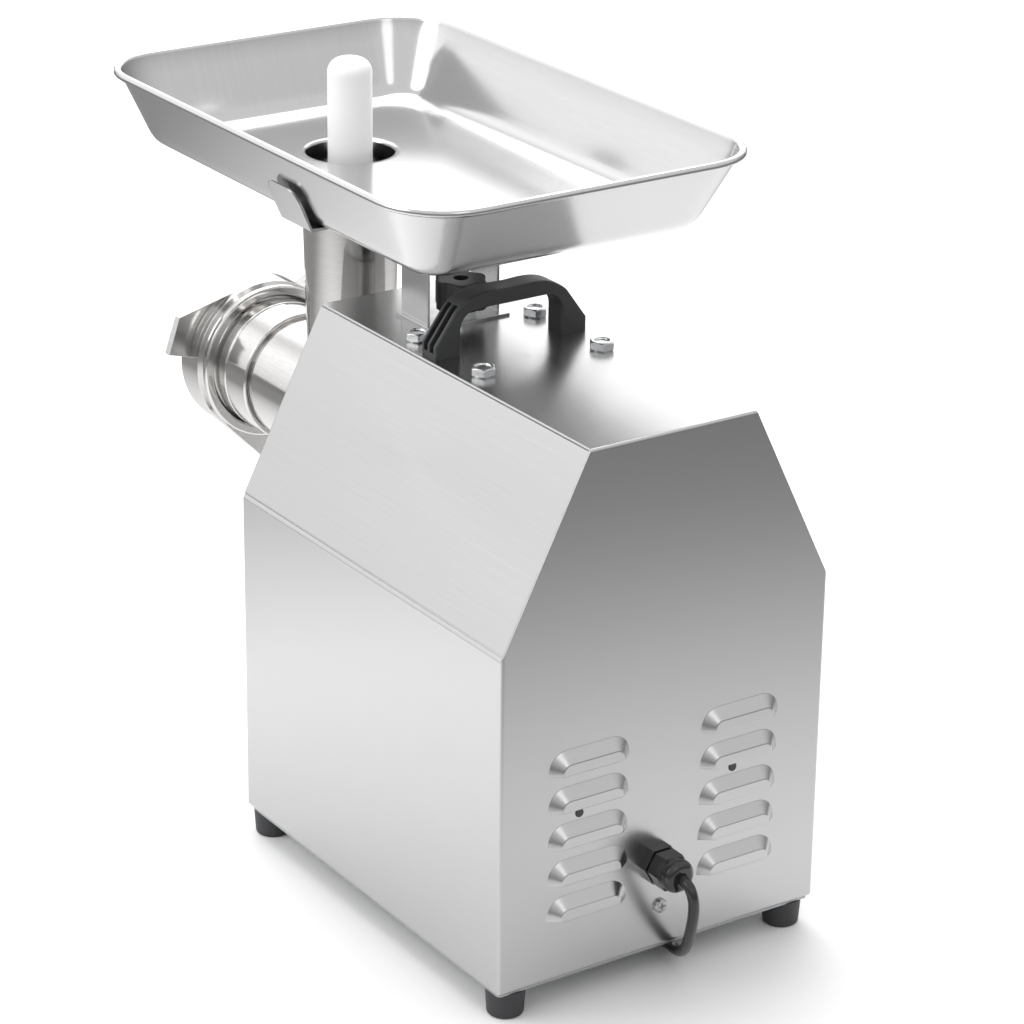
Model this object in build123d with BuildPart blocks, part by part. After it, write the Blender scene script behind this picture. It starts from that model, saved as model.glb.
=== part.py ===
from build123d import *

import os
from math import acos, cos, degrees, pi, radians, sin, sqrt, tan

# Electric meat grinder with a No. 12 head: a folded steel housing on four rubber feet,
# a motor and a two-stage gearbox inside it, and a removable head with its feed pan.
# Millimetres. +Z up, the discharge faces -Y, the cord leaves through the rear panel (+Y).
# The origin is the middle of the footprint, on the floor.

# ---- driving dimensions ---------------------------------------------------------------

# Housing
housing_width = 220.0
housing_length = 276.0
shoulder_height = 204.0
housing_height = 314.0
top_width = 110.0
sheet = 1.2
seam = 0.8
bend_radius = 2.0
lip_width = 14.0
flange_depth = 12.0
roof_flange = 6.0

# Base and feet
base_thickness = 1.5
base_inset = 1.5
foot_height = 16.5
foot_radius = 11.6
foot_inset = 13.0
foot_front = 7.0
foot_rear = 12.0
foot_taper = 1.1
foot_recess = 9.0
foot_recess_radius = 6.0
foot_screw_radius = 2.5
foot_screw_head = 5.0
foot_screw_head_height = 3.0
foot_nut_radius = 4.6
foot_nut_height = 4.0
foot_screw_end = 7.0
screw_radius = 2.0
screw_head = 4.0
screw_head_height = 2.2
base_screw_end = 60.0

# Rear panel
louvre_width = 54.0
louvre_height = 13.5
louvre_depth = 5.0
louvre_pitch = 22.4
louvre_rows = 5
louvre_low = 38.0
louvre_offset = 51.5
louvre_corner = 12.0
louvre_lip = 1.5
louvre_taper = 54.0
rivet_radius = 1.7
gland_thread = 8.0
gland_thread_length = 14.0
gland_hex = 6.0
gland_neck = 1.6
gland_nut = 9.4
gland_dome = 4.6
gland_height = 55.0
gland_offset = 4.0
gland_flats = 20.0
gland_reach = 25.0

# Drive train, measured down from the output axis
shaft_height = 220.4
final_module = 2.5
final_gear_teeth = 38
final_pinion_teeth = 14
first_module = 2.0
first_gear_teeth = 40
first_pinion_teeth = 14
gear_width = 19.0
first_gear_width = 16.0
gear_backlash = 0.25
case_wall = 6.0
case_half_width = 60.0
case_front = 81.0
case_length = 84.0
cover_thickness = 8.0
output_radius = 15.0
journal_radius = 12.0
layshaft_radius = 12.0
rotor_shaft_radius = 8.0
motor_radius = 70.0
motor_length = 66.0
rotor_radius = 37.5
stator_length = 40.0
fan_radius = 56.0

# Fits
running_gap = 0.05
part_gap = 0.3
screw_gap = 0.1

# Head
barrel_radius = 39.5
barrel_bore = 27.0
barrel_length = 116.5
collar_radius = 42.4
collar_length = 35.0
thread_radius = 40.5
thread_length = 22.0
tail_radius = 30.0
tail_length = 76.0
neck_forward = 57.5
neck_top_radius = 29.9
neck_low_radius = 27.0
neck_wall = 1.9
neck_blend = 5.0
plate_radius = 35.0
plate_thickness = 8.0
knife_thickness = 10.0
auger_clearance = 0.7
auger_pitch = 50.0
stud_radius = 5.4
drive_square = 14.0
knife_square = 11.0
ring_length = 33.5
ring_radius = 50.5
ring_lap = 3.0
knife_lap = 2.0
lug_radius = 70.0
lug_count = 3

# Feed pan and pusher
pan_length = 370.0
pan_width = 236.0
pan_depth = 47.6
pan_floor_length = 315.0
pan_floor_width = 186.0
pan_floor_shift = -3.5
pan_rear_inset = 71.0
pan_wall = 1.0
pan_rim = 3.5
pan_rim_width = 5.0
pan_rim_corner = 49.0
pan_floor_corner = 28.0
pan_floor_height = 384.4
collar_bore = 26.8
pan_collar_depth = 12.0
pusher_radius = 13.5
piston_radius = 24.6
piston_height = 14.0
pusher_rise = 57.0

# Handle, knob and tray bracket
bolt_spread = 39.3
bolt_front = 81.0
bolt_rear = 151.0
bolt_flats = 13.0
bolt_head = 5.3
bolt_radius = 4.0
bolt_length = 20.0
handle_width = 103.0
handle_height = 34.8
handle_depth = 15.0
handle_from_rear = 165.0
handle_grip = 9.0
handle_leg = 17.0
knob_forward = 65.0
knob_radius = 16.0
knob_height = 17.0
knob_lift = 8.0
knob_stud_radius = 5.0
knob_blind = 7.0
knob_dimple_radius = 4.6
knob_dimple = 5.0
lobe_radius = 5.0
lobe_count = 6
bush_collar = 3.5
bush_flats = 17.0
bush_height = 4.5
bush_below = 2.0
bracket_sheet = 1.5
bracket_half_width = 24.0
bracket_leg = 28.0
bracket_leg_back = 10.0
bracket_foot = 37.0
ear_width = 32.0
ear_height = 24.0
ear_gap = 2.3
ear_corner = 8.0

# Cord
cord_diameter = 6.5
coil_turns_wide = 3
coil_turns_high = 2
coil_mid_diameter = 72.0

# ---- shared places --------------------------------------------------------------------

ring_reach = barrel_length + collar_length + ring_length + 0.5
rear_y = (housing_length + ring_reach - gland_reach) / 2
front_y = rear_y - housing_length
base_z = foot_height + base_thickness
shoulder_z = base_z + shoulder_height
top_z = base_z + housing_height
axis_z = base_z + shaft_height
half_width = housing_width / 2
half_top = top_width / 2

slope_run = half_width - half_top
slope_rise = top_z - shoulder_z
slope_length = sqrt(slope_run**2 + slope_rise**2)

final_distance = final_module * (final_gear_teeth + final_pinion_teeth) / 2
first_distance = first_module * (first_gear_teeth + first_pinion_teeth) / 2
lay_z = axis_z - final_distance
rotor_z = lay_z - first_distance

case_front_y = front_y + case_front
case_rear_y = case_front_y + case_length
cover_rear_y = case_rear_y + cover_thickness
motor_rear_y = cover_rear_y + motor_length
neck_y = front_y - neck_forward
bolt_ys = (front_y + bolt_front, front_y + bolt_rear)
knob_y = front_y + knob_forward
handle_y = rear_y - handle_from_rear
pan_floor_z = base_z + pan_floor_height
pan_rim_z = pan_floor_z + pan_depth
pan_under_z = pan_floor_z - pan_wall
pan_rear_y = rear_y - pan_rear_inset
pan_y = pan_rear_y - pan_length / 2
gland_x = gland_offset
gland_z = base_z + gland_height

output_axis = Axis((0, 0, axis_z), (0, 1, 0))


def across(y):
    """Plane square to the shafts at depth y; its X and Y are the part's X and Z."""
    return Plane(origin=(0, y, 0), x_dir=(1, 0, 0), z_dir=(0, -1, 0))


def along_side(x):
    """Plane square to X; its X and Y are the part's Y and Z, and it faces +X."""
    return Plane(origin=(x, 0, 0), x_dir=(0, 1, 0), z_dir=(1, 0, 0))


rear_face = Plane(origin=(0, rear_y, 0), x_dir=(-1, 0, 0), z_dir=(0, 1, 0))


def slope_x(z, inset=0.0):
    """Half width at height z of the sloped cheek, moved in by inset, square to it."""
    return half_width - ((z - shoulder_z) * slope_run + inset * slope_length) / slope_rise


def slope_z(x, inset=0.0):
    """Height at half width x of the sloped cheek, moved in by inset, square to it."""
    return shoulder_z + ((half_width - x) * slope_rise - inset * slope_length) / slope_run


def house_points(inset, low_z):
    """The housing's six-sided section, every face but the lowest moved in by inset."""
    side = half_width - inset
    roof = top_z - inset
    right = [(side, low_z), (side, slope_z(side, inset)), (slope_x(roof, inset), roof)]
    return right + [(-x, z) for x, z in reversed(right)]


def gear_points(module, teeth, phase, centre_z):
    """Outline of an involute gear with stub teeth, one of them centred on phase degrees."""
    pressure = radians(20)
    pitch_radius = module * teeth / 2
    base_radius = pitch_radius * cos(pressure)
    tip_radius = pitch_radius + 0.8 * module
    root_radius = pitch_radius - module
    half_tooth = pi / (2 * teeth) - gear_backlash / (4 * pitch_radius)
    half_tooth += tan(pressure) - pressure
    start = max(base_radius, root_radius)
    flank = []
    for step in range(5):
        radius = start + (tip_radius - start) * step / 4
        turn = acos(min(1.0, base_radius / radius))
        flank.append((radius, half_tooth - (tan(turn) - turn)))
    if root_radius < base_radius:
        flank.insert(0, (root_radius, flank[0][1]))
    outline = []
    for tooth in range(teeth):
        centre = radians(phase) + 2 * pi * tooth / teeth
        turns = [(radius, centre - half) for radius, half in flank]
        turns += [(radius, centre + half) for radius, half in reversed(flank)]
        outline += [(radius * cos(turn), centre_z + radius * sin(turn)) for radius, turn in turns]
    return outline


# ---- housing --------------------------------------------------------------------------

with BuildPart() as hood_form:
    with BuildSketch():
        RectangleRounded(louvre_width, 2 * louvre_height, louvre_corner)
    extrude(amount=louvre_depth, taper=louvre_taper)
    split(bisect_by=Plane.XZ.offset(0), keep=Keep.BOTTOM)
    fillet(
        hood_form.faces().sort_by(Axis.Z)[-1].edges().filter_by(lambda e: e.center().Y > 0.5),
        louvre_lip,
    )

with BuildPart() as hood_hollow:
    with BuildSketch(Plane.XY.offset(-sheet - 0.2)):
        RectangleRounded(louvre_width - 1.0, 2 * louvre_height - 1.0, louvre_corner - 0.5)
    extrude(amount=louvre_depth, taper=louvre_taper)
    split(bisect_by=Plane.XZ.offset(0), keep=Keep.BOTTOM)

louvre_places = [
    (side * louvre_offset, base_z + louvre_low + row * louvre_pitch)
    for side in (-1, 1)
    for row in range(louvre_rows)
]
rivet_places = [(-57.5, base_z + 100.4), (47.7, base_z + 100.4)]
switch_y = front_y + 42.0
switch_z = base_z + 150.0
switch_height = 28.4
switch_depth = 20.0
breaker_z = base_z + 108.0
breaker_radius = 7.0
handle_screw_x = handle_width / 2 - handle_leg / 2
handle_screw_radius = 2.5
handle_screw_head = 4.8
handle_screw_head_height = 3.0
earth_place = (-0.5, base_z + 26.0)
base_screw_x = half_width - lip_width / 2
base_screw_ys = (front_y + base_screw_end, front_y + housing_length / 2, rear_y - base_screw_end)
foot_x = half_width - foot_inset
foot_places = [(x, y) for x in (-foot_x, foot_x) for y in (front_y + foot_front, rear_y - foot_rear)]

with BuildPart() as body_shell:
    with BuildSketch(across(rear_y)):
        with BuildLine():
            side_in = half_width - sheet
            Polyline(
                (half_width, base_z),
                (half_width, shoulder_z - seam),
                (side_in, slope_z(side_in) - seam),
                (side_in, base_z + sheet),
                (half_width - lip_width, base_z + sheet),
                (half_width - lip_width, base_z),
                close=True,
            )
        make_face()
        mirror(about=Plane.YZ)
    extrude(amount=housing_length)
    with BuildSketch(across(rear_y)):
        with BuildLine():
            roof_in = slope_x(top_z - sheet) - seam
            Polyline(
                (half_top - seam, top_z),
                (roof_in, top_z - sheet),
                (-roof_in, top_z - sheet),
                (-half_top + seam, top_z),
                close=True,
            )
        make_face()
    extrude(amount=housing_length)
    with BuildSketch(across(rear_y)):
        with BuildLine():
            Polyline(*house_points(0, base_z), close=True)
        make_face()
    extrude(amount=sheet)
    with BuildSketch(Plane.XY.offset(base_z)):
        with Locations((0, rear_y - lip_width / 2)):
            Rectangle(housing_width - 2 * sheet, lip_width)
    extrude(amount=sheet)
    outside = body_shell.edges().filter_by(
        lambda e: (abs(abs(e.center().X) - half_width) < 0.01 and abs(e.center().Y - rear_y) < 0.01)
        or (abs(e.center().Z - top_z) < 0.01 and abs(e.center().Y - rear_y) < 0.01)
        or (abs(e.center().Z - base_z) < 0.01 and abs(abs(e.center().X) - half_width) < 0.01)
        or (abs(e.center().Z - base_z) < 0.01 and abs(e.center().Y - rear_y) < 0.01)
    )
    fillet(outside.filter_by(lambda e: e.length > 50), bend_radius)
    with Locations(*[rear_face.location * Location((x, z, 0)) for x, z in louvre_places]):
        add(hood_form.part)
    with Locations(*[rear_face.location * Location((x, z, 0)) for x, z in louvre_places]):
        add(hood_hollow.part, mode=Mode.SUBTRACT)
    with Locations(rear_face.location * Location((-gland_x, gland_z, 0))):
        Hole(gland_thread + screw_gap, depth=2 * sheet)
    with Locations(*[rear_face.location * Location((x, z, 0)) for x, z in rivet_places]):
        Hole(rivet_radius + screw_gap, depth=2 * sheet)
    with Locations(rear_face.location * Location((*earth_place, 0))):
        Hole(screw_radius + screw_gap, depth=2 * sheet)
    with BuildSketch(Plane.XY.offset(top_z - 2 * sheet)):
        with Locations(*[(x, y) for x in (-bolt_spread, bolt_spread) for y in bolt_ys]):
            Circle(bolt_radius + part_gap)
        with Locations((handle_screw_x, handle_y), (-handle_screw_x, handle_y)):
            Circle(handle_screw_radius + part_gap)
        with Locations((0, knob_y)):
            Circle(knob_stud_radius + bush_collar + screw_gap)
    extrude(amount=3 * sheet, mode=Mode.SUBTRACT)
    with BuildSketch(along_side(-half_width - sheet)):
        with Locations((switch_y, switch_z)):
            Rectangle(switch_depth + 2.4, switch_height + 2.4)
        with Locations((switch_y, breaker_z)):
            Circle(breaker_radius + screw_gap)
    extrude(amount=3 * sheet, mode=Mode.SUBTRACT)
    with BuildSketch(Plane.XY.offset(base_z - sheet)):
        with Locations(*[(x, y) for x in (-base_screw_x, base_screw_x) for y in base_screw_ys]):
            Circle(screw_radius + screw_gap)
        with Locations(*foot_places):
            Circle(foot_nut_radius + part_gap)
    extrude(amount=3 * sheet, mode=Mode.SUBTRACT)

# The cheeks are separate sheets: each has a flange behind the side and one under the top.
with BuildPart() as slope_panel_right:
    with BuildSketch(across(rear_y - sheet - screw_gap)):
        with BuildLine():
            out_x = half_width - sheet - running_gap
            out_z = top_z - sheet - running_gap
            in_x = out_x - sheet
            in_z = out_z - sheet
            Polyline(
                (out_x, shoulder_z - flange_depth),
                (out_x, slope_z(out_x)),
                (slope_x(out_z), out_z),
                (half_top - roof_flange, out_z),
                (half_top - roof_flange, in_z),
                (slope_x(in_z, sheet), in_z),
                (in_x, slope_z(in_x, sheet)),
                (in_x, shoulder_z - flange_depth),
                close=True,
            )
        make_face()
    extrude(amount=housing_length - sheet - screw_gap)

with BuildPart() as slope_panel_left:
    add(mirror(slope_panel_right.part, about=Plane.YZ))

panel_inset = 2 * sheet + 2 * running_gap + screw_gap
socket_radius = 43.0
with BuildPart() as front_panel:
    with BuildSketch(across(front_y + sheet)):
        with BuildLine():
            Polyline(*house_points(panel_inset, base_z + sheet), close=True)
        make_face()
        with Locations((0, axis_z)):
            Circle(socket_radius + part_gap, mode=Mode.SUBTRACT)
    extrude(amount=sheet)
    with BuildSketch(across(front_y + flange_depth)):
        with BuildLine():
            Polyline(*house_points(panel_inset, base_z + sheet), close=True)
        make_face()
        with BuildLine():
            Polyline(*house_points(panel_inset + sheet, base_z + 2 * sheet), close=True)
        make_face(mode=Mode.SUBTRACT)
    extrude(amount=flange_depth)
    with BuildSketch(Plane.XY.offset(base_z)):
        with Locations(*foot_places):
            Circle(foot_nut_radius + part_gap)
    extrude(amount=3 * sheet, mode=Mode.SUBTRACT)

slot_width = 4.0
with BuildPart() as base_plate:
    with BuildSketch(Plane.XY.offset(foot_height)):
        with Locations((0, (front_y + rear_y) / 2)):
            RectangleRounded(housing_width - 2 * base_inset, housing_length - 2 * base_inset, 3)
        with Locations(*foot_places):
            Circle(foot_screw_radius + screw_gap, mode=Mode.SUBTRACT)
        with Locations(*[(x, y) for x in (-base_screw_x, base_screw_x) for y in base_screw_ys]):
            Circle(screw_radius + screw_gap, mode=Mode.SUBTRACT)
        with Locations((0, (motor_rear_y + cover_rear_y) / 2)):
            with GridLocations(46.0, 11.0, 2, 4):
                SlotOverall(38.0, slot_width, mode=Mode.SUBTRACT)
    extrude(amount=base_thickness)

foot_bore = foot_screw_radius + 0.7
with BuildPart() as foot_form:
    with BuildSketch(Plane.XZ):
        with BuildLine():
            Polyline(
                (foot_bore, foot_height),
                (foot_radius, foot_height),
                (foot_radius - foot_taper, 0),
                (foot_recess_radius, 0),
                (foot_recess_radius, foot_recess),
                (foot_bore, foot_recess),
                close=True,
            )
        make_face()
    revolve(axis=Axis.Z)
    fillet(foot_form.edges().filter_by(GeomType.CIRCLE).group_by(Axis.Z)[0].sort_by(SortBy.RADIUS)[-1], 1.8)
with BuildPart() as feet:
    with Locations(*[(x, y, 0) for x, y in foot_places]):
        add(foot_form.part)

with BuildPart() as foot_screw_form:
    with BuildSketch(Plane.XY.offset(foot_recess)):
        Circle(foot_screw_head)
    extrude(amount=-foot_screw_head_height)
    with BuildSketch(Plane.XY.offset(foot_recess)):
        Circle(foot_screw_radius)
    extrude(amount=base_z - foot_recess + foot_screw_end)
    with BuildSketch(Plane.XY.offset(base_z)):
        RegularPolygon(foot_nut_radius, 6)
    extrude(amount=foot_nut_height)
with BuildPart() as foot_screws:
    with Locations(*[(x, y, 0) for x, y in foot_places]):
        add(foot_screw_form.part)

with BuildPart() as base_screw_form:
    with BuildSketch(Plane.XY.offset(foot_height)):
        Circle(screw_head)
    extrude(amount=-screw_head_height)
    fillet(base_screw_form.edges().group_by(Axis.Z)[0], 1.2)
    with BuildSketch(Plane.XY.offset(foot_height)):
        Circle(screw_radius)
    extrude(amount=base_thickness + sheet + 4.0)
with BuildPart() as base_screws:
    with Locations(*[(x, y, 0) for x in (-base_screw_x, base_screw_x) for y in base_screw_ys]):
        add(base_screw_form.part)

with BuildPart() as bolt_form:
    with BuildSketch(Plane.XY.offset(top_z)):
        RegularPolygon(bolt_flats / 2 / cos(pi / 6), 6)
    extrude(amount=bolt_head)
    with BuildSketch(Plane.XZ):
        with BuildLine():
            corner = bolt_flats / 2 / cos(pi / 6)
            Polyline(
                (0, top_z),
                (corner + 1, top_z),
                (corner + 1, top_z + bolt_head - 1.4),
                (bolt_flats / 2 - 0.2, top_z + bolt_head),
                (0, top_z + bolt_head),
                close=True,
            )
        make_face()
    revolve(axis=Axis.Z, mode=Mode.INTERSECT)
    with BuildSketch(Plane.XY.offset(top_z)):
        Circle(bolt_radius)
    extrude(amount=-bolt_length)
with BuildPart() as top_bolts:
    with Locations(*[(x, y, 0) for x in (-bolt_spread, bolt_spread) for y in bolt_ys]):
        add(bolt_form.part)

# ---- handle, tray bracket and lock knob -----------------------------------------------

pocket_wall = 2.4
pocket_depth = 4.2
pocket_floor = 3.5
pocket_rib = handle_depth / 2 - pocket_wall
with BuildPart() as carry_handle:
    with BuildSketch(across(handle_y + handle_depth / 2)):
        with BuildLine():
            foot_out = handle_width / 2
            crown_z = top_z + handle_height
            Line((0, top_z), (foot_out, top_z))
            Line((foot_out, top_z), (foot_out, top_z + 8))
            Line((foot_out, top_z + 8), (foot_out - 13.0, crown_z - 9.0))
            Spline(
                (foot_out - 13.0, crown_z - 9.0),
                (foot_out - 20.5, crown_z - 3.2),
                (0, crown_z),
                tangents=[(-13.0, handle_height - 17.0), (-1, 0)],
                tangent_scalars=[0.7, 1.0],
            )
            Line((0, crown_z), (0, top_z))
        make_face()
        with BuildLine():
            inner = handle_width / 2 - handle_leg
            under_z = top_z + handle_height - handle_grip
            Polyline((0, top_z), (inner, top_z), (inner, under_z), (0, under_z), close=True)
        make_face(mode=Mode.SUBTRACT)
        mirror(about=Plane.YZ)
    extrude(amount=handle_depth)
    fillet(
        carry_handle.edges().filter_by(Axis.Y).filter_by(
            lambda e: abs(e.center().Z - under_z) < 0.1 and abs(abs(e.center().X) - inner) < 0.1
        ),
        11.0,
    )
    rim = carry_handle.faces().filter_by(Axis.Y).edges()
    fillet(rim.filter_by(lambda e: e.center().Z > top_z + 1), 1.2)
    # Both legs are cored out from their outer ends, with a rib left down the middle.
    for pocket_y in (handle_y + handle_depth / 2 - pocket_wall, handle_y + pocket_depth - pocket_rib):
        with BuildSketch(across(pocket_y)):
            with BuildLine():
                Polyline(
                    (foot_out + 2, top_z + pocket_floor),
                    (inner + 5.0, top_z + pocket_floor),
                    (inner + 5.0, under_z - 9.0),
                    (inner - 2.0, under_z + 1.5),
                    (foot_out - 16.0, crown_z - 5.5),
                    (foot_out + 2, crown_z - 5.5),
                    close=True,
                )
            make_face()
            mirror(about=Plane.YZ)
        extrude(amount=pocket_depth, mode=Mode.SUBTRACT)
    with BuildSketch(Plane.XY.offset(top_z)):
        with Locations((handle_screw_x, handle_y), (-handle_screw_x, handle_y)):
            Circle(handle_screw_radius + screw_gap)
    extrude(amount=pocket_floor, mode=Mode.SUBTRACT)

with BuildPart() as handle_screws:
    with BuildSketch(Plane.XY.offset(top_z - sheet)):
        with Locations((handle_screw_x, handle_y), (-handle_screw_x, handle_y)):
            Circle(handle_screw_head)
    extrude(amount=-handle_screw_head_height)
    with BuildSketch(Plane.XY.offset(top_z - sheet)):
        with Locations((handle_screw_x, handle_y), (-handle_screw_x, handle_y)):
            Circle(handle_screw_radius)
    extrude(amount=sheet + pocket_floor - part_gap)


def pan_wall_x(z):
    """Half width of the pan's outer side face at height z."""
    share = (z - pan_under_z) / (pan_rim_z - pan_rim - pan_under_z)
    spread = (pan_width - pan_floor_width) / 2 - pan_rim_width
    return pan_floor_width / 2 + pan_wall + share * spread


strap_top = pan_under_z - part_gap
strap_low = strap_top - bracket_sheet
ear_top = strap_top + ear_height
bracket_y = front_y + 44.0
leg_y = bracket_y + bracket_leg_back
with BuildPart() as tray_bracket:
    with BuildSketch(across(bracket_y + ear_width / 2 + 2)):
        with BuildLine():
            ear_foot = pan_wall_x(strap_top) + ear_gap
            ear_tip = pan_wall_x(ear_top) + ear_gap
            ear_lean = (ear_tip - ear_foot) / ear_height
            ear_thick = bracket_sheet * sqrt(1 + ear_lean**2)
            Polyline(
                (0, strap_low),
                (ear_foot + 0.6, strap_low),
                (ear_foot + ear_thick, strap_low + 1.0),
                (ear_tip + ear_thick, ear_top),
                (ear_tip, ear_top),
                (ear_foot, strap_top),
                (0, strap_top),
                close=True,
            )
        make_face()
        mirror(about=Plane.YZ)
    extrude(amount=ear_width + 4)
    with BuildSketch(along_side(-half_width - 10)):
        with Locations((bracket_y, ear_top - 30)):
            RectangleRounded(ear_width, 60, ear_corner)
    extrude(amount=housing_width + 20, mode=Mode.INTERSECT)
    with BuildSketch(Plane.XY.offset(strap_low)):
        with Locations((0, leg_y)):
            Rectangle(2 * bracket_half_width + bracket_sheet, bracket_leg)
    extrude(amount=bracket_sheet)
    with BuildSketch(across(leg_y + bracket_leg / 2)):
        with Locations((bracket_half_width, (top_z + strap_low) / 2)):
            Rectangle(bracket_sheet, strap_low - top_z)
        with Locations((-bracket_half_width, (top_z + strap_low) / 2)):
            Rectangle(bracket_sheet, strap_low - top_z)
    extrude(amount=bracket_leg)
    with BuildSketch(Plane.XY.offset(top_z)):
        with Locations((0, leg_y + 2.5)):
            Rectangle(2 * bracket_half_width + 7, bracket_foot)
        with Locations((0, knob_y)):
            Circle(knob_stud_radius + bush_collar + screw_gap, mode=Mode.SUBTRACT)
    extrude(amount=bracket_sheet)

with BuildPart() as stud_bush:
    with BuildSketch(Plane.XY.offset(top_z + bracket_sheet)):
        with Locations((0, knob_y)):
            RegularPolygon(bush_flats / 2 / cos(pi / 6), 6)
            Circle(knob_stud_radius + running_gap, mode=Mode.SUBTRACT)
    extrude(amount=bush_height)
    with BuildSketch(Plane.XY.offset(top_z + bracket_sheet)):
        with Locations((0, knob_y)):
            Circle(knob_stud_radius + bush_collar)
            Circle(knob_stud_radius + running_gap, mode=Mode.SUBTRACT)
    extrude(amount=-(bracket_sheet + sheet + bush_below))

knob_low = top_z + knob_lift
with BuildPart() as lock_knob:
    with BuildSketch(Plane.XY.offset(knob_low)):
        with Locations((0, knob_y)):
            Circle(knob_radius - 2.2)
            with PolarLocations(knob_radius - lobe_radius, lobe_count):
                Circle(lobe_radius)
    extrude(amount=knob_height)
    fillet(lock_knob.edges().group_by(Axis.Z)[-1], 1.6)
    fillet(lock_knob.edges().group_by(Axis.Z)[0], 1.0)
    with BuildSketch(Plane.XY.offset(knob_low + knob_height)):
        with Locations((0, knob_y)):
            Circle(knob_dimple_radius)
    extrude(amount=-knob_dimple, mode=Mode.SUBTRACT)
    with BuildSketch(Plane.XY.offset(knob_low)):
        with Locations((0, knob_y)):
            Circle(knob_stud_radius)
    extrude(amount=knob_height - knob_blind, mode=Mode.SUBTRACT)

stud_low = axis_z + tail_radius + part_gap
with BuildPart() as knob_stud:
    with BuildSketch(Plane.XY.offset(stud_low)):
        with Locations((0, knob_y)):
            Circle(knob_stud_radius)
    extrude(amount=knob_low + knob_height - knob_blind - stud_low)
    chamfer(knob_stud.edges().group_by(Axis.Z)[0], 1.0)

# ---- rear fittings and controls --------------------------------------------------------

gland_bore = cord_diameter / 2 + running_gap
with BuildPart() as cable_gland:
    with BuildSketch(rear_face):
        with Locations((-gland_x, gland_z)):
            RegularPolygon(gland_flats / 2 / cos(pi / 6) + 0.6, 6)
    extrude(amount=gland_hex)
    with BuildSketch(rear_face.offset(gland_hex)):
        with Locations((-gland_x, gland_z)):
            Circle(gland_flats / 2 - 1.2)
    extrude(amount=gland_neck)
    with BuildSketch(rear_face.offset(gland_hex + gland_neck)):
        with Locations((-gland_x, gland_z)):
            RegularPolygon(gland_flats / 2 / cos(pi / 6), 6)
    extrude(amount=gland_nut)
    with BuildSketch(rear_face.offset(gland_hex + gland_neck + gland_nut)):
        with Locations((-gland_x, gland_z)):
            Circle(gland_flats / 2)
    extrude(amount=gland_reach - gland_hex - gland_neck - gland_nut)
    fillet(cable_gland.edges().group_by(Axis.Y)[-1], gland_dome)
    with BuildSketch(rear_face):
        with Locations((-gland_x, gland_z)):
            Circle(gland_thread)
    extrude(amount=-gland_thread_length)
    with BuildSketch(rear_face.offset(gland_reach)):
        with Locations((-gland_x, gland_z)):
            Circle(gland_bore)
    extrude(amount=-gland_reach - gland_thread_length, mode=Mode.SUBTRACT)

locknut_flats = 22.0
with BuildPart() as gland_locknut:
    with BuildSketch(rear_face.offset(-sheet)):
        with Locations((-gland_x, gland_z)):
            RegularPolygon(locknut_flats / 2 / cos(pi / 6), 6)
            Circle(gland_thread + running_gap, mode=Mode.SUBTRACT)
    extrude(amount=-5.0)

with BuildPart() as panel_rivets:
    with BuildSketch(rear_face.offset(-sheet - 2.5)):
        with Locations(*rivet_places):
            Circle(rivet_radius)
    extrude(amount=sheet + 2.5)
    with BuildSketch(rear_face):
        with Locations(*rivet_places):
            Circle(rivet_radius + 0.9)
    extrude(amount=0.7)
    fillet(panel_rivets.edges().group_by(Axis.Y)[-1], 0.5)

with BuildPart() as earth_screw:
    with BuildSketch(rear_face):
        with Locations(earth_place):
            Circle(4.2)
    extrude(amount=2.4)
    fillet(earth_screw.edges().group_by(Axis.Y)[-1], 1.4)
    with BuildSketch(rear_face.offset(2.4)):
        with Locations(earth_place):
            Rectangle(4.4, 0.9)
            Rectangle(0.9, 4.4)
    extrude(amount=-1.2, mode=Mode.SUBTRACT)
    with BuildSketch(rear_face):
        with Locations(earth_place):
            Circle(screw_radius)
    extrude(amount=-12.0)

switch_face = -half_width
switch_body_depth = 26.0
switch_bezel = 2.0
with BuildPart() as switch_body:
    with BuildSketch(along_side(switch_face)):
        with Locations((switch_y, switch_z)):
            RectangleRounded(switch_depth + 6.0, switch_height + 6.0, 2.5)
    extrude(amount=-switch_bezel)
    with BuildSketch(along_side(switch_face)):
        with Locations((switch_y, switch_z)):
            Rectangle(switch_depth + 2.2, switch_height + 2.2)
    extrude(amount=switch_body_depth)
    with BuildSketch(along_side(switch_face - switch_bezel)):
        with Locations((switch_y, switch_z)):
            Rectangle(switch_depth, switch_height)
    extrude(amount=16.0, mode=Mode.SUBTRACT)

rocker_pivot_x = switch_face + 6.0
rocker_half = switch_height / 2 - 2.0
with BuildPart() as switch_rocker:
    with BuildSketch(across(switch_y + switch_depth / 2 - part_gap)):
        with BuildLine():
            Polyline(
                (rocker_pivot_x + 4.0, switch_z - 5.0),
                (rocker_pivot_x + 4.0, switch_z + 5.0),
                (rocker_pivot_x - 1.0, switch_z + rocker_half),
                (rocker_pivot_x - 9.4, switch_z + rocker_half),
                (rocker_pivot_x - 8.0, switch_z),
                (rocker_pivot_x - 9.4, switch_z - rocker_half),
                (rocker_pivot_x - 1.0, switch_z - rocker_half),
                close=True,
            )
        make_face()
    extrude(amount=switch_depth - 2 * part_gap)

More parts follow.
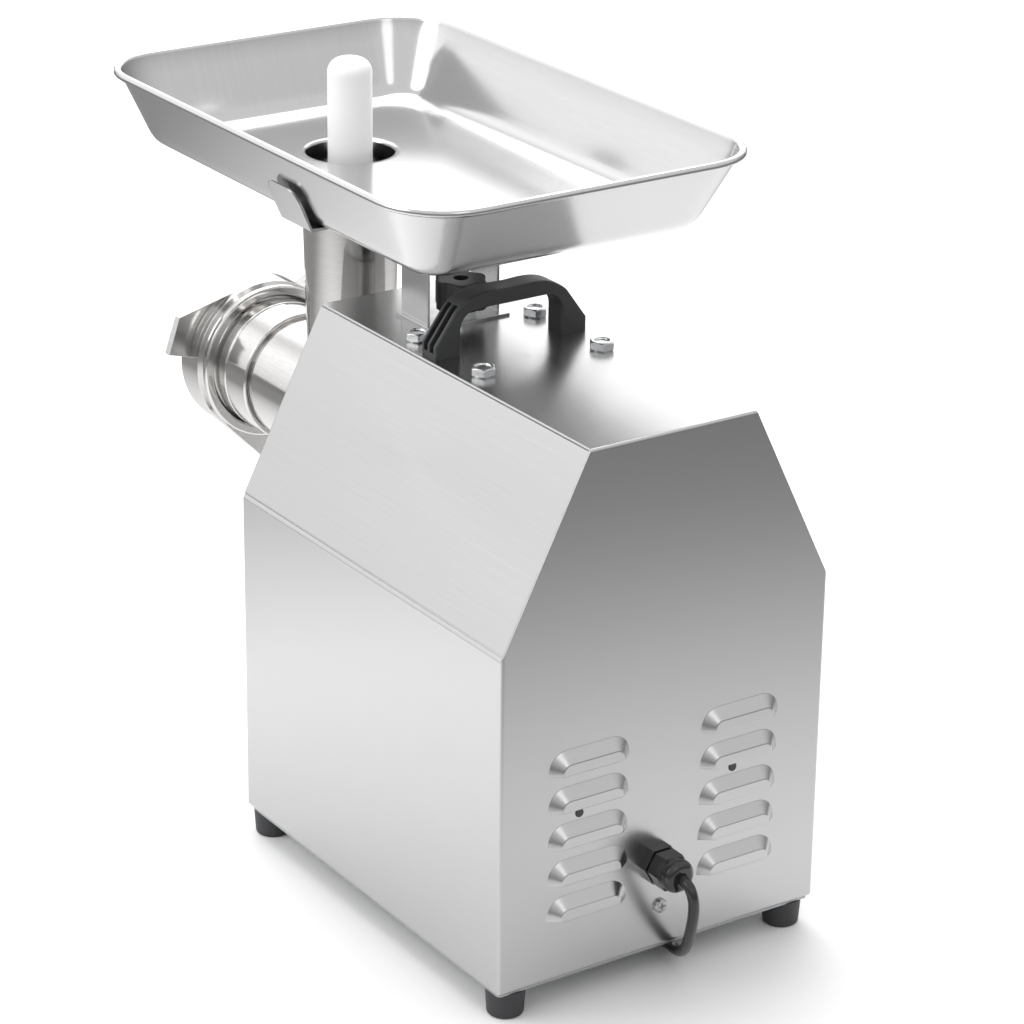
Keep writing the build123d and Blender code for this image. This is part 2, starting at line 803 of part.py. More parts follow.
reset_radius = 4.0
reset_travel = 2.0
breaker_nut = 3.0
breaker_thread = 8.0
with BuildPart() as breaker_body:
    with BuildSketch(along_side(switch_face)):
        with Locations((switch_y, breaker_z)):
            RegularPolygon(9.6, 6)
            Circle(reset_radius + part_gap, mode=Mode.SUBTRACT)
    extrude(amount=-breaker_nut)
    with BuildSketch(along_side(switch_face)):
        with Locations((switch_y, breaker_z)):
            Circle(breaker_radius)
            Circle(reset_radius + part_gap, mode=Mode.SUBTRACT)
    extrude(amount=breaker_thread)
    with BuildSketch(along_side(switch_face + breaker_thread)):
        with Locations((switch_y, breaker_z)):
            Rectangle(14.0, 28.0)
    extrude(amount=22.0)

reset_proud = reset_travel + 0.6
with BuildPart() as reset_button:
    with BuildSketch(along_side(switch_face - breaker_nut - reset_proud)):
        with Locations((switch_y, breaker_z)):
            Circle(reset_radius)
    extrude(amount=breaker_nut + reset_proud + breaker_thread - reset_travel - part_gap)
    fillet(reset_button.edges().group_by(Axis.X)[0], 0.8)

# ---- gearbox ---------------------------------------------------------------------------

gear_front_y = case_front_y + case_wall + 10.0
gear_rear_y = gear_front_y + gear_width
first_gear_rear_y = case_rear_y - 12.0
first_gear_front_y = first_gear_rear_y - first_gear_width
final_gear_tip = final_module * (final_gear_teeth / 2 + 0.8)
first_pinion_tip = first_module * (first_pinion_teeth / 2 + 0.8)
case_top_z = axis_z + final_gear_tip + 4.5 + case_wall
case_low_z = rotor_z - first_pinion_tip - 5.5 - case_wall
boss_radius = 9.5
bearing_radius = 20.0
bearing_width = 8.0
socket_bearing_radius = 26.0
spigot_radius = 34.0
rotor_bearing_radius = 16.0
tie_spread = (motor_radius + 7.0) / sqrt(2)
tie_radius = 2.5
tie_places = [(x, rotor_z + z) for x in (-tie_spread, tie_spread) for z in (-tie_spread, tie_spread)]
socket_bolt_circle = 49.5

with BuildPart() as gearbox_case:
    with BuildSketch(across(case_rear_y)):
        with Locations((0, (case_top_z + case_low_z) / 2)):
            RectangleRounded(2 * case_half_width, case_top_z - case_low_z, 18)
    extrude(amount=case_length)
    with BuildSketch(across(case_rear_y)):
        with Locations((0, (case_top_z + case_low_z) / 2)):
            RectangleRounded(
                2 * (case_half_width - case_wall), case_top_z - case_low_z - 2 * case_wall, 13
            )
    extrude(amount=case_length - case_wall, mode=Mode.SUBTRACT)
    with BuildSketch(across(case_front_y + case_wall + bearing_width)):
        with Locations((0, lay_z)):
            Circle(bearing_radius + 4.0)
    extrude(amount=bearing_width)
    with BuildSketch(across(case_front_y + case_wall + bearing_width)):
        with Locations((0, lay_z)):
            Circle(bearing_radius)
    extrude(amount=bearing_width, mode=Mode.SUBTRACT)
    with BuildSketch(Plane.XY.offset(case_top_z - case_wall)):
        with Locations(*[(x, y) for x in (-bolt_spread, bolt_spread) for y in bolt_ys]):
            Circle(boss_radius)
    extrude(amount=top_z - 2 * sheet - running_gap - case_top_z + case_wall)
    with BuildSketch(Plane.XY.offset(top_z - 2 * sheet)):
        with Locations(*[(x, y) for x in (-bolt_spread, bolt_spread) for y in bolt_ys]):
            Circle(bolt_radius + screw_gap)
    extrude(amount=-(bolt_length + 1 - 2 * sheet), mode=Mode.SUBTRACT)
    with BuildSketch(across(case_front_y + case_wall)):
        with Locations((0, axis_z)):
            Circle(spigot_radius + running_gap)
            with PolarLocations(socket_bolt_circle, 4, start_angle=45):
                Circle(2.5 + screw_gap)
    extrude(amount=case_wall, mode=Mode.SUBTRACT)

with BuildPart() as gearbox_cover:
    with BuildSketch(across(cover_rear_y)):
        with Locations((0, (case_top_z + case_low_z) / 2)):
            RectangleRounded(2 * case_half_width, case_top_z - case_low_z, 18)
        with Locations((0, rotor_z)):
            Circle(motor_radius + 1.0)
        with Locations(*tie_places):
            Circle(6.5)
        with Locations(*tie_places):
            Circle(tie_radius + screw_gap, mode=Mode.SUBTRACT)
        with Locations((0, rotor_z)):
            Circle(rotor_bearing_radius, mode=Mode.SUBTRACT)
    extrude(amount=cover_thickness)
    with BuildSketch(across(case_rear_y)):
        with Locations((0, axis_z), (0, lay_z)):
            Circle(bearing_radius + 4.0)
        with Locations((0, axis_z), (0, lay_z)):
            Circle(bearing_radius, mode=Mode.SUBTRACT)
    extrude(amount=bearing_width)

tail_rear_y = front_y + tail_length
socket_seat_y = tail_rear_y + 1.0
with BuildPart() as head_socket:
    with BuildSketch(Plane.YZ):
        with BuildLine():
            spigot_end = case_front_y + case_wall + 7.0
            seal_front = case_front_y
            Polyline(
                (front_y, axis_z + tail_radius + running_gap),
                (front_y, axis_z + socket_radius),
                (case_front_y - 7.0, axis_z + socket_radius),
                (case_front_y - 7.0, axis_z + 56.0),
                (case_front_y, axis_z + 56.0),
                (case_front_y, axis_z + spigot_radius),
                (spigot_end, axis_z + spigot_radius),
                (spigot_end, axis_z + socket_bearing_radius),
                (seal_front, axis_z + socket_bearing_radius),
                (seal_front, axis_z + output_radius + 2.0),
                (socket_seat_y, axis_z + output_radius + 2.0),
                (socket_seat_y, axis_z + tail_radius + running_gap),
                close=True,
            )
        make_face()
    revolve(axis=output_axis)
    with BuildSketch(Plane.XY.offset(axis_z + socket_radius - 4.0)):
        with Locations((0, knob_y)):
            Circle(13.0)
    extrude(amount=top_z - sheet - running_gap - (axis_z + socket_radius - 4.0))
    with BuildSketch(Plane.XY.offset(axis_z + tail_radius - 2.0)):
        with Locations((0, knob_y)):
            Circle(knob_stud_radius + running_gap)
    extrude(amount=80.0, mode=Mode.SUBTRACT)
    with BuildSketch(Plane.XY.offset(top_z)):
        with Locations((0, knob_y)):
            Circle(knob_stud_radius + bush_collar + screw_gap)
    extrude(amount=-(sheet + bush_below + part_gap), mode=Mode.SUBTRACT)
    with BuildSketch(across(case_front_y)):
        with Locations((0, axis_z)):
            with PolarLocations(socket_bolt_circle, 4, start_angle=45):
                Circle(2.5 + screw_gap)
    extrude(amount=10.0, mode=Mode.SUBTRACT)

with BuildPart() as socket_bolts:
    with BuildSketch(across(case_front_y - 7.0)):
        with Locations((0, axis_z)):
            with PolarLocations(socket_bolt_circle, 4, start_angle=45):
                RegularPolygon(4.6, 6)
    extrude(amount=3.5)
    with BuildSketch(across(case_front_y + case_wall)):
        with Locations((0, axis_z)):
            with PolarLocations(socket_bolt_circle, 4, start_angle=45):
                Circle(2.5)
    extrude(amount=case_wall + 7.0)

seal_width = 4.0
with BuildPart() as oil_seal:
    with BuildSketch(across(case_front_y + seal_width)):
        with Locations((0, axis_z)):
            Circle(socket_bearing_radius)
            Circle(output_radius + running_gap, mode=Mode.SUBTRACT)
    extrude(amount=seal_width)

with BuildPart() as output_bearings:
    with BuildSketch(across(spigot_end)):
        with Locations((0, axis_z)):
            Circle(socket_bearing_radius)
            Circle(output_radius + running_gap, mode=Mode.SUBTRACT)
    extrude(amount=spigot_end - case_front_y - seal_width)
    with BuildSketch(across(case_rear_y)):
        with Locations((0, axis_z)):
            Circle(bearing_radius)
            Circle(journal_radius + running_gap, mode=Mode.SUBTRACT)
    extrude(amount=bearing_width)

with BuildPart() as layshaft_bearings:
    for plane_y in (case_front_y + case_wall + bearing_width, case_rear_y):
        with BuildSketch(across(plane_y)):
            with Locations((0, lay_z)):
                Circle(bearing_radius)
                Circle(journal_radius + running_gap, mode=Mode.SUBTRACT)
        extrude(amount=bearing_width)

shield_thickness = 6.0
shield_boss = 10.0
with BuildPart() as motor_bearings:
    for plane_y in (cover_rear_y, motor_rear_y + shield_thickness):
        with BuildSketch(across(plane_y)):
            with Locations((0, rotor_z)):
                Circle(rotor_bearing_radius)
                Circle(rotor_shaft_radius + running_gap, mode=Mode.SUBTRACT)
        extrude(amount=shield_thickness)

# ---- rotating parts --------------------------------------------------------------------

shaft_front_y = socket_seat_y + 0.5
square_depth = 26.0
with BuildPart() as output_shaft:
    with BuildSketch(across(case_rear_y - bearing_width)):
        with Locations((0, axis_z)):
            Circle(output_radius)
    extrude(amount=case_rear_y - bearing_width - shaft_front_y)
    with BuildSketch(across(case_rear_y - part_gap)):
        with Locations((0, axis_z)):
            Circle(journal_radius)
    extrude(amount=bearing_width)
    with BuildSketch(across(shaft_front_y + square_depth)):
        with Locations((0, axis_z)):
            Rectangle(drive_square + 0.2, drive_square + 0.2)
    extrude(amount=square_depth, mode=Mode.SUBTRACT)

with BuildPart() as output_gear:
    with BuildSketch(across(gear_rear_y)):
        with BuildLine():
            Polyline(*gear_points(final_module, final_gear_teeth, -90, axis_z), close=True)
        make_face()
        with Locations((0, axis_z)):
            Circle(output_radius, mode=Mode.SUBTRACT)
            with PolarLocations(31.0, 6):
                Circle(7.5, mode=Mode.SUBTRACT)
    extrude(amount=gear_width)

with BuildPart() as layshaft:
    with BuildSketch(across(gear_rear_y + 1.0)):
        with BuildLine():
            gap_up = 90 + 180 / final_pinion_teeth
            Polyline(*gear_points(final_module, final_pinion_teeth, gap_up, lay_z), close=True)
        make_face()
    extrude(amount=gear_width + 1.5)
    with BuildSketch(across(case_rear_y - part_gap)):
        with Locations((0, lay_z)):
            Circle(layshaft_radius)
    extrude(amount=case_length - case_wall - 2 * part_gap)

with BuildPart() as lay_gear:
    with BuildSketch(across(first_gear_rear_y)):
        with BuildLine():
            Polyline(*gear_points(first_module, first_gear_teeth, -90, lay_z), close=True)
        make_face()
        with Locations((0, lay_z)):
            Circle(layshaft_radius, mode=Mode.SUBTRACT)
            with PolarLocations(24.5, 6):
                Circle(6.0, mode=Mode.SUBTRACT)
    extrude(amount=first_gear_width)

shield_rear_y = motor_rear_y + shield_thickness
fan_front_y = shield_rear_y + 5.0
fan_width = 12.0
with BuildPart() as rotor_shaft:
    with BuildSketch(across(fan_front_y + fan_width + 2.0)):
        with Locations((0, rotor_z)):
            Circle(rotor_shaft_radius)
    extrude(amount=fan_front_y + fan_width + 2.0 - first_gear_front_y + 2.0)
    with BuildSketch(across(first_gear_rear_y + 1.0)):
        with BuildLine():
            gap_up = 90 + 180 / first_pinion_teeth
            Polyline(*gear_points(first_module, first_pinion_teeth, gap_up, rotor_z), close=True)
        make_face()
    extrude(amount=first_gear_width + 2.0)

stator_rear_y = motor_rear_y - (motor_length - stator_length) / 2
with BuildPart() as rotor_core:
    with BuildSketch(across(stator_rear_y)):
        with Locations((0, rotor_z)):
            Circle(rotor_radius)
            Circle(rotor_shaft_radius, mode=Mode.SUBTRACT)
    extrude(amount=stator_length)

with BuildPart() as cooling_fan:
    with BuildSketch(across(fan_front_y + fan_width)):
        with Locations((0, rotor_z)):
            Circle(14.0)
            with PolarLocations(fan_radius / 2 + 5.0, 7):
                Rectangle(fan_radius - 10.0, 2.4)
            Circle(rotor_shaft_radius, mode=Mode.SUBTRACT)
    extrude(amount=fan_width)
    with BuildSketch(across(fan_front_y + 1.6)):
        with Locations((0, rotor_z)):
            Circle(fan_radius)
            Circle(rotor_shaft_radius, mode=Mode.SUBTRACT)
    extrude(amount=1.6)

# ---- motor -----------------------------------------------------------------------------

motor_wall = 3.0
with BuildPart() as motor_frame:
    with BuildSketch(across(motor_rear_y)):
        with Locations((0, rotor_z)):
            Circle(motor_radius)
            Circle(motor_radius - motor_wall, mode=Mode.SUBTRACT)
    extrude(amount=motor_length)

stator_bore = rotor_radius + 0.5
with BuildPart() as motor_stator:
    with BuildSketch(across(stator_rear_y)):
        with Locations((0, rotor_z)):
            Circle(motor_radius - motor_wall)
            Circle(stator_bore, mode=Mode.SUBTRACT)
    extrude(amount=stator_length)

winding_length = 9.0
with BuildPart() as motor_windings:
    for plane_y in (stator_rear_y + winding_length, stator_rear_y - stator_length):
        with BuildSketch(across(plane_y)):
            with Locations((0, rotor_z)):
                Circle(motor_radius - motor_wall - 6.0)
                Circle(rotor_radius + 4.0, mode=Mode.SUBTRACT)
        extrude(amount=winding_length)

with BuildPart() as motor_end_shield:
    with BuildSketch(across(shield_rear_y)):
        with Locations((0, rotor_z)):
            Circle(motor_radius + 1.0)
        with Locations(*tie_places):
            Circle(6.5)
        with Locations(*tie_places):
            Circle(tie_radius + screw_gap, mode=Mode.SUBTRACT)
        with Locations((0, rotor_z)):
            Circle(rotor_bearing_radius, mode=Mode.SUBTRACT)
            with PolarLocations(46.0, 8, start_angle=22.5):
                Circle(7.0, mode=Mode.SUBTRACT)
    extrude(amount=shield_thickness)

with BuildPart() as motor_tie_bolts:
    with BuildSketch(across(shield_rear_y + 3.5)):
        with Locations(*tie_places):
            RegularPolygon(4.6, 6)
    extrude(amount=3.5)
    with BuildSketch(across(shield_rear_y)):
        with Locations(*tie_places):
            Circle(tie_radius)
    extrude(amount=shield_rear_y - case_rear_y)

cradle_width = 70.0
cradle_length = 30.0
with BuildPart() as motor_cradle:
    with BuildSketch(across((motor_rear_y + cover_rear_y) / 2 + cradle_length / 2)):
        with Locations((0, (base_z + rotor_z - motor_radius) / 2 + 6.0)):
            Rectangle(cradle_width, rotor_z - motor_radius - base_z + 12.0)
        with Locations((0, rotor_z)):
            Circle(motor_radius, mode=Mode.SUBTRACT)
        with Locations((0, base_z + 5.0)):
            Rectangle(cradle_width - 12.0, 10.0, mode=Mode.SUBTRACT)
    extrude(amount=cradle_length)

capacitor_x = 62.0
capacitor_z = base_z + 196.0
capacitor_radius = 18.0
capacitor_front_y = cover_rear_y + 12.0
with BuildPart() as capacitor:
    with BuildSketch(across(capacitor_front_y + 70.0)):
        with Locations((capacitor_x, capacitor_z)):
            Circle(capacitor_radius)
    extrude(amount=70.0)
    fillet(capacitor.edges().group_by(Axis.Y)[0], 2.0)

with BuildPart() as capacitor_clamp:
    with BuildSketch(across(capacitor_front_y + 40.0)):
        with Locations((capacitor_x, capacitor_z)):
            Circle(capacitor_radius + 2.0)
        with BuildLine():
            clamp_end = half_width - sheet - running_gap
            Polyline(
                (capacitor_x, capacitor_z - 16.0),
                (clamp_end, capacitor_z - 16.0),
                (clamp_end, capacitor_z - 36.0),
                (clamp_end - 2.0, capacitor_z - 36.0),
                (clamp_end - 2.0, capacitor_z - 18.0),
                (capacitor_x, capacitor_z - 18.0),
                close=True,
            )
        make_face()
        with Locations((capacitor_x, capacitor_z)):
            Circle(capacitor_radius, mode=Mode.SUBTRACT)
    extrude(amount=14.0)

with BuildPart() as terminal_block:
    with BuildSketch(Plane.XY.offset(base_z)):
        with Locations((76.0, rear_y - 50.0)):
            Rectangle(20.0, 46.0)
    extrude(amount=14.0)
    with BuildSketch(Plane.XY.offset(base_z + 14.0)):
        with Locations((76.0, rear_y - 50.0)):
            with GridLocations(11.0, 11.0, 2, 4):
                Circle(3.2)
    extrude(amount=-7.0, mode=Mode.SUBTRACT)

# ---- grinding head ---------------------------------------------------------------------

collar_y = front_y - barrel_length
mouth_y = collar_y - collar_length
head_front_y = mouth_y - thread_length
plate_front_y = head_front_y - 0.5
plate_rear_y = plate_front_y + plate_thickness
knife_rear_y = plate_rear_y + 0.2 + knife_thickness
chamber_rear_y = front_y + 14.0
neck_top_z = pan_under_z - part_gap
plate_bore = plate_radius + running_gap
neck_axis = Axis((0, neck_y, 0), (0, 0, 1))
bush_bore = journal_radius + running_gap

with BuildPart() as grinding_head:
    with BuildSketch(Plane.YZ):
        with BuildLine():
            Polyline(
                (tail_rear_y, axis_z),
                (tail_rear_y, axis_z + tail_radius - 1.5),
                (tail_rear_y - 1.5, axis_z + tail_radius),
                (front_y - part_gap, axis_z + tail_radius),
                (front_y - part_gap, axis_z + barrel_radius - 2.0),
                (front_y - part_gap - 2.0, axis_z + barrel_radius),
                (collar_y + 2.5, axis_z + barrel_radius),
                (collar_y + 2.5, axis_z + barrel_radius - 1.2),
                (collar_y, axis_z + barrel_radius - 1.2),
                (collar_y, axis_z + collar_radius - 1.0),
                (collar_y - 1.0, axis_z + collar_radius),
                (mouth_y + 12.0, axis_z + collar_radius),
                (mouth_y + 11.0, axis_z + collar_radius - 0.8),
                (mouth_y + 10.0, axis_z + collar_radius),
                (mouth_y, axis_z + collar_radius),
                (mouth_y, axis_z + thread_radius),
                (head_front_y, axis_z + thread_radius),
                (head_front_y, axis_z),
                close=True,
            )
        make_face()
    revolve(axis=output_axis)
    with BuildSketch(Plane.YZ):
        with BuildLine():
            Polyline(
                (neck_y, axis_z),
                (neck_y + neck_low_radius, axis_z),
                (neck_y + neck_low_radius, axis_z + barrel_radius),
                (neck_y + neck_top_radius, neck_top_z),
                (neck_y, neck_top_z),
                close=True,
            )
        make_face()
    revolve(axis=neck_axis)
    fillet(grinding_head.edges().filter_by(GeomType.BSPLINE), neck_blend)
    with BuildSketch(Plane.YZ):
        with BuildLine():
            Polyline(
                (tail_rear_y, axis_z),
                (tail_rear_y, axis_z + bush_bore),
                (chamber_rear_y, axis_z + bush_bore),
                (chamber_rear_y, axis_z + barrel_bore),
                (knife_rear_y + 1.0, axis_z + barrel_bore),
                (knife_rear_y + 1.0, axis_z + plate_bore),
                (head_front_y, axis_z + plate_bore),
                (head_front_y, axis_z),
                close=True,
            )
        make_face()
    revolve(axis=output_axis, mode=Mode.SUBTRACT)
    with BuildSketch(Plane.YZ):
        with BuildLine():
            Polyline(
                (neck_y, axis_z),
                (neck_y + neck_low_radius - neck_wall, axis_z),
                (neck_y + neck_low_radius - neck_wall, axis_z + barrel_radius),
                (neck_y + neck_top_radius - neck_wall, neck_top_z),
                (neck_y, neck_top_z),
                close=True,
            )
        make_face()
    revolve(axis=neck_axis, mode=Mode.SUBTRACT)

pin_radius = 2.0
with BuildPart() as plate_pin:
    with BuildSketch(across(plate_rear_y)):
        with Locations((0, axis_z - plate_bore + 0.9)):
            Circle(pin_radius)
    extrude(amount=plate_thickness - 1.0)

with BuildPart() as cutting_plate:
    with BuildSketch(across(plate_rear_y)):
        with Locations((0, axis_z)):
            Circle(plate_radius)
            Circle(stud_radius + running_gap, mode=Mode.SUBTRACT)
            for ring_radius_step, holes in ((12.0, 8), (18.5, 13), (25.0, 18), (30.5, 23)):
                with PolarLocations(ring_radius_step, holes):
                    Circle(2.5, mode=Mode.SUBTRACT)
        with Locations((0, axis_z - plate_bore + 0.9)):
            Circle(pin_radius + 0.35, mode=Mode.SUBTRACT)
    extrude(amount=plate_thickness)

knife_reach = plate_radius - knife_lap
with BuildPart() as knife:
    with BuildSketch(across(knife_rear_y)):
        with Locations((0, axis_z)):
            Circle(13.0)
            with PolarLocations(knife_reach / 2, 4):
                Rectangle(knife_reach, 12.0)
            Rectangle(knife_square, knife_square, mode=Mode.SUBTRACT)
    extrude(amount=knife_thickness)

screw_outer = barrel_bore - auger_clearance
washer_thickness = 2.0
flight_front_y = knife_rear_y + 1.0
flight_rear_y = chamber_rear_y - washer_thickness - 2 * part_gap
with BuildPart() as auger_washer:
    with BuildSketch(across(chamber_rear_y - part_gap)):
        with Locations((0, axis_z)):
            Circle(screw_outer - 2.0)
            Circle(journal_radius, mode=Mode.SUBTRACT)
    extrude(amount=washer_thickness)

flight_length = flight_rear_y - flight_front_y
with BuildSketch(across(flight_rear_y)) as flight_section:
    with Locations((0, axis_z)):
        Circle(11.0)
    with BuildLine():
        arc_half = 24.0
        ray_x = screw_outer * cos(radians(arc_half))
        ray_z = screw_outer * sin(radians(arc_half))
        Line((0, axis_z), (ray_x, axis_z - ray_z))
        ThreePointArc(
            (ray_x, axis_z - ray_z), (screw_outer, axis_z), (ray_x, axis_z + ray_z)
        )
        Line((ray_x, axis_z + ray_z), (0, axis_z))
    make_face()
with BuildPart() as auger:
    add(
        Solid.extrude_linear_with_rotation(
            flight_section.sketch.faces()[0].outer_wire(),
            (0, flight_rear_y, axis_z),
            (0, -flight_length, 0),
            360 * flight_length / auger_pitch,
        )
    )
    with BuildSketch(across(tail_rear_y)):
        with Locations((0, axis_z)):
            Circle(journal_radius)
    extrude(amount=tail_rear_y - flight_rear_y + 3.0)
    with BuildSketch(across(flight_front_y + 3.0)):
        with Locations((0, axis_z)):
            Circle(11.8)
    extrude(amount=3.0)
    with BuildSketch(across(flight_front_y)):
        with Locations((0, axis_z)):
            Rectangle(knife_square - 0.1, knife_square - 0.1)
    extrude(amount=flight_front_y - plate_rear_y - 0.2)
    with BuildSketch(across(flight_front_y)):
        with Locations((0, axis_z)):
            Circle(stud_radius)
    extrude(amount=flight_front_y - plate_front_y - 1.0)
    with BuildSketch(across(shaft_front_y + square_depth - 2.0)):
        with Locations((0, axis_z)):
            Rectangle(drive_square, drive_square)
    extrude(amount=shaft_front_y + square_depth - 2.0 - tail_rear_y)

ring_rear_y = mouth_y - 0.5
ring_front_y = ring_rear_y - ring_length
ring_inner = thread_radius + 0.08
ring_mouth = plate_radius - ring_lap
ring_seat_y = plate_front_y - 0.2
lug_rear_y = ring_rear_y - 14.0


def lug_points(turn):
    """A sawtooth lug: a steep lower edge, a short tip, and a long edge back to the ring."""
    corners = (
        (ring_radius - 5.5, 8.0),
        (lug_radius - 1.0, 10.5),
        (lug_radius, 31.0),
        (ring_radius, 66.0),
        (ring_radius - 5.5, 60.0),
    )
    return [
        (radius * cos(radians(angle + turn)), axis_z + radius * sin(radians(angle + turn)))
        for radius, angle in corners
    ]


with BuildPart() as ring_nut:
    for lug in range(lug_count):
        with BuildSketch(across(lug_rear_y)):
            with BuildLine():
                Polyline(*lug_points(360 * lug / lug_count), close=True)
            make_face()
        extrude(amount=14.0)
    with BuildSketch(Plane.YZ):
        with BuildLine():
            Polyline(
                (lug_rear_y, axis_z),
                (lug_rear_y, axis_z + lug_radius + 2.0),
                (lug_rear_y - 4.0, axis_z + lug_radius + 2.0),
                (lug_rear_y - 14.0, axis_z + ring_radius),
                (lug_rear_y - 14.0, axis_z),
                close=True,
            )
        make_face()
    revolve(axis=output_axis, mode=Mode.INTERSECT)
    with BuildSketch(Plane.YZ):
        with BuildLine():
            Polyline(
                (ring_rear_y, axis_z + ring_inner + 4.0),
                (ring_rear_y, axis_z + ring_radius - 1.8),
                (ring_rear_y - 1.0, axis_z + ring_radius - 0.8),
                (ring_rear_y - 4.0, axis_z + ring_radius - 0.8),
                (ring_rear_y - 5.0, axis_z + ring_radius - 2.8),
                (ring_rear_y - 8.0, axis_z + ring_radius - 2.8),
                (ring_rear_y - 9.5, axis_z + ring_radius),
                (ring_front_y + 3.0, axis_z + ring_radius),
                (ring_front_y, axis_z + ring_radius - 3.0),
                (ring_front_y, axis_z + ring_mouth + 1.5),
                (ring_front_y + 1.5, axis_z + ring_mouth),
                (ring_seat_y, axis_z + ring_mouth),
                (ring_seat_y, axis_z + ring_inner),
                (ring_rear_y - 2.0, axis_z + ring_inner),
                close=True,
            )
        make_face()
    revolve(axis=output_axis)
    with BuildSketch(across(lug_rear_y + 1.0)):
        with Locations((0, axis_z)):
            Circle(ring_inner)
    extrude(amount=lug_rear_y + 1.0 - ring_seat_y, mode=Mode.SUBTRACT)
    with BuildSketch(across(ring_seat_y)):
        with Locations((0, axis_z)):
            Circle(ring_mouth)
    extrude(amount=ring_length, mode=Mode.SUBTRACT)

# ---- feed pan and pusher ---------------------------------------------------------------

pan_floor_y = pan_y + pan_floor_shift
with BuildPart() as feed_pan:
    with BuildSketch(Plane.XY.offset(pan_under_z)):
        with Locations((0, pan_floor_y)):
            RectangleRounded(pan_floor_width + 2, pan_floor_length + 2, pan_floor_corner + 1)
    with BuildSketch(Plane.XY.offset(pan_rim_z - pan_rim)):
        with Locations((0, pan_y)):
            RectangleRounded(
                pan_width - 2 * pan_rim_width + 2,
                pan_length - 2 * pan_rim_width + 2,
                pan_rim_corner - pan_rim_width + 1,
            )
    loft()
    with BuildSketch(Plane.XY.offset(pan_floor_z)):
        with Locations((0, pan_floor_y)):
            RectangleRounded(pan_floor_width, pan_floor_length, pan_floor_corner)
    with BuildSketch(Plane.XY.offset(pan_rim_z - pan_rim)):
        with Locations((0, pan_y)):
            RectangleRounded(
                pan_width - 2 * pan_rim_width,
                pan_length - 2 * pan_rim_width,
                pan_rim_corner - pan_rim_width,
            )
    loft(mode=Mode.SUBTRACT)
    with BuildSketch(Plane.XY.offset(pan_rim_z - pan_rim)):
        with Locations((0, pan_y)):
            RectangleRounded(pan_width, pan_length, pan_rim_corner)
            RectangleRounded(
                pan_width - 2 * pan_rim_width,
                pan_length - 2 * pan_rim_width,
                pan_rim_corner - pan_rim_width,
                mode=Mode.SUBTRACT,
            )
    extrude(amount=pan_rim)
    fillet(feed_pan.edges().group_by(Axis.Z)[-1], 1.5)
    with BuildSketch(Plane.XY.offset(pan_floor_z)):
        with Locations((0, neck_y)):
            Circle(collar_bore + 0.8)
    extrude(amount=-pan_collar_depth)
    with BuildSketch(Plane.XY.offset(pan_floor_z)):
        with Locations((0, neck_y)):
            Circle(collar_bore)
    extrude(amount=-pan_collar_depth, mode=Mode.SUBTRACT)

piston_low_z = axis_z + barrel_bore + 1.5
with BuildPart() as pusher:
    with BuildSketch(Plane.XY.offset(piston_low_z)):
        with Locations((0, neck_y)):
            Circle(piston_radius)
    extrude(amount=piston_height)
    fillet(pusher.edges(), 2.0)
    with BuildSketch(Plane.XY.offset(piston_low_z + piston_height - 2.0)):
        with Locations((0, neck_y)):
            Circle(pusher_radius)
    extrude(amount=pan_floor_z + pusher_rise - piston_low_z - piston_height + 2.0)
    fillet(pusher.edges().group_by(Axis.Z)[-1], 9.0)

# ---- cord ------------------------------------------------------------------------------

cord_radius = cord_diameter / 2
floor_z = cord_radius + 0.05
coil_x = -25.0
coil_y = -118.0
coil_outer = coil_mid_diameter / 2 + cord_diameter * coil_turns_wide / 2
coil_inner = coil_mid_diameter / 2 - cord_diameter * coil_turns_wide / 2
plug_y = coil_y - coil_outer + cord_radius
plug_z = 0.05 + cord_diameter * 1.5
plug_start_x = coil_x - 26.0
cord_route = [
    (gland_x, rear_y + gland_reach - 4.0, gland_z),
    (gland_x, rear_y + gland_reach + 5.0, gland_z),
    (gland_x - 0.6, rear_y + gland_reach + 10.5, gland_z - 8.0),
    (gland_x - 2.0, rear_y + gland_reach + 9.0, gland_z - 19.0),
    (gland_x - 5.5, rear_y + 27.0, gland_z - 34.0),
    (gland_x - 11.0, rear_y + 17.0, gland_z - 50.0),
    (-14.0, rear_y + 1.5, 9.5),
    (-21.0, rear_y - 21.0, floor_z),
    (-30.0, rear_y - 56.0, floor_z + 0.02),
    (-34.0, rear_y - 105.0, floor_z),
    (-25.0, rear_y - 158.0, floor_z + 0.02),
    (-8.0, rear_y - 208.0, floor_z),
    (9.0, rear_y - 254.0, floor_z + 0.02),
    (18.0, rear_y - 294.0, floor_z),
    (coil_x + coil_outer - cord_radius - 1.0, coil_y + 20.0, floor_z),
]


def bend_radii(route):
    """The largest arc that each corner's two runs allow, with a tenth of each left straight."""
    radii = []
    for before, corner, after in zip(route, route[1:], route[2:]):
        run_in = Vector(*corner) - Vector(*before)
        run_out = Vector(*after) - Vector(*corner)
        half_turn = radians(run_in.get_angle(run_out)) / 2
        radii.append(0.45 * min(run_in.length, run_out.length) / tan(half_turn))
    return radii


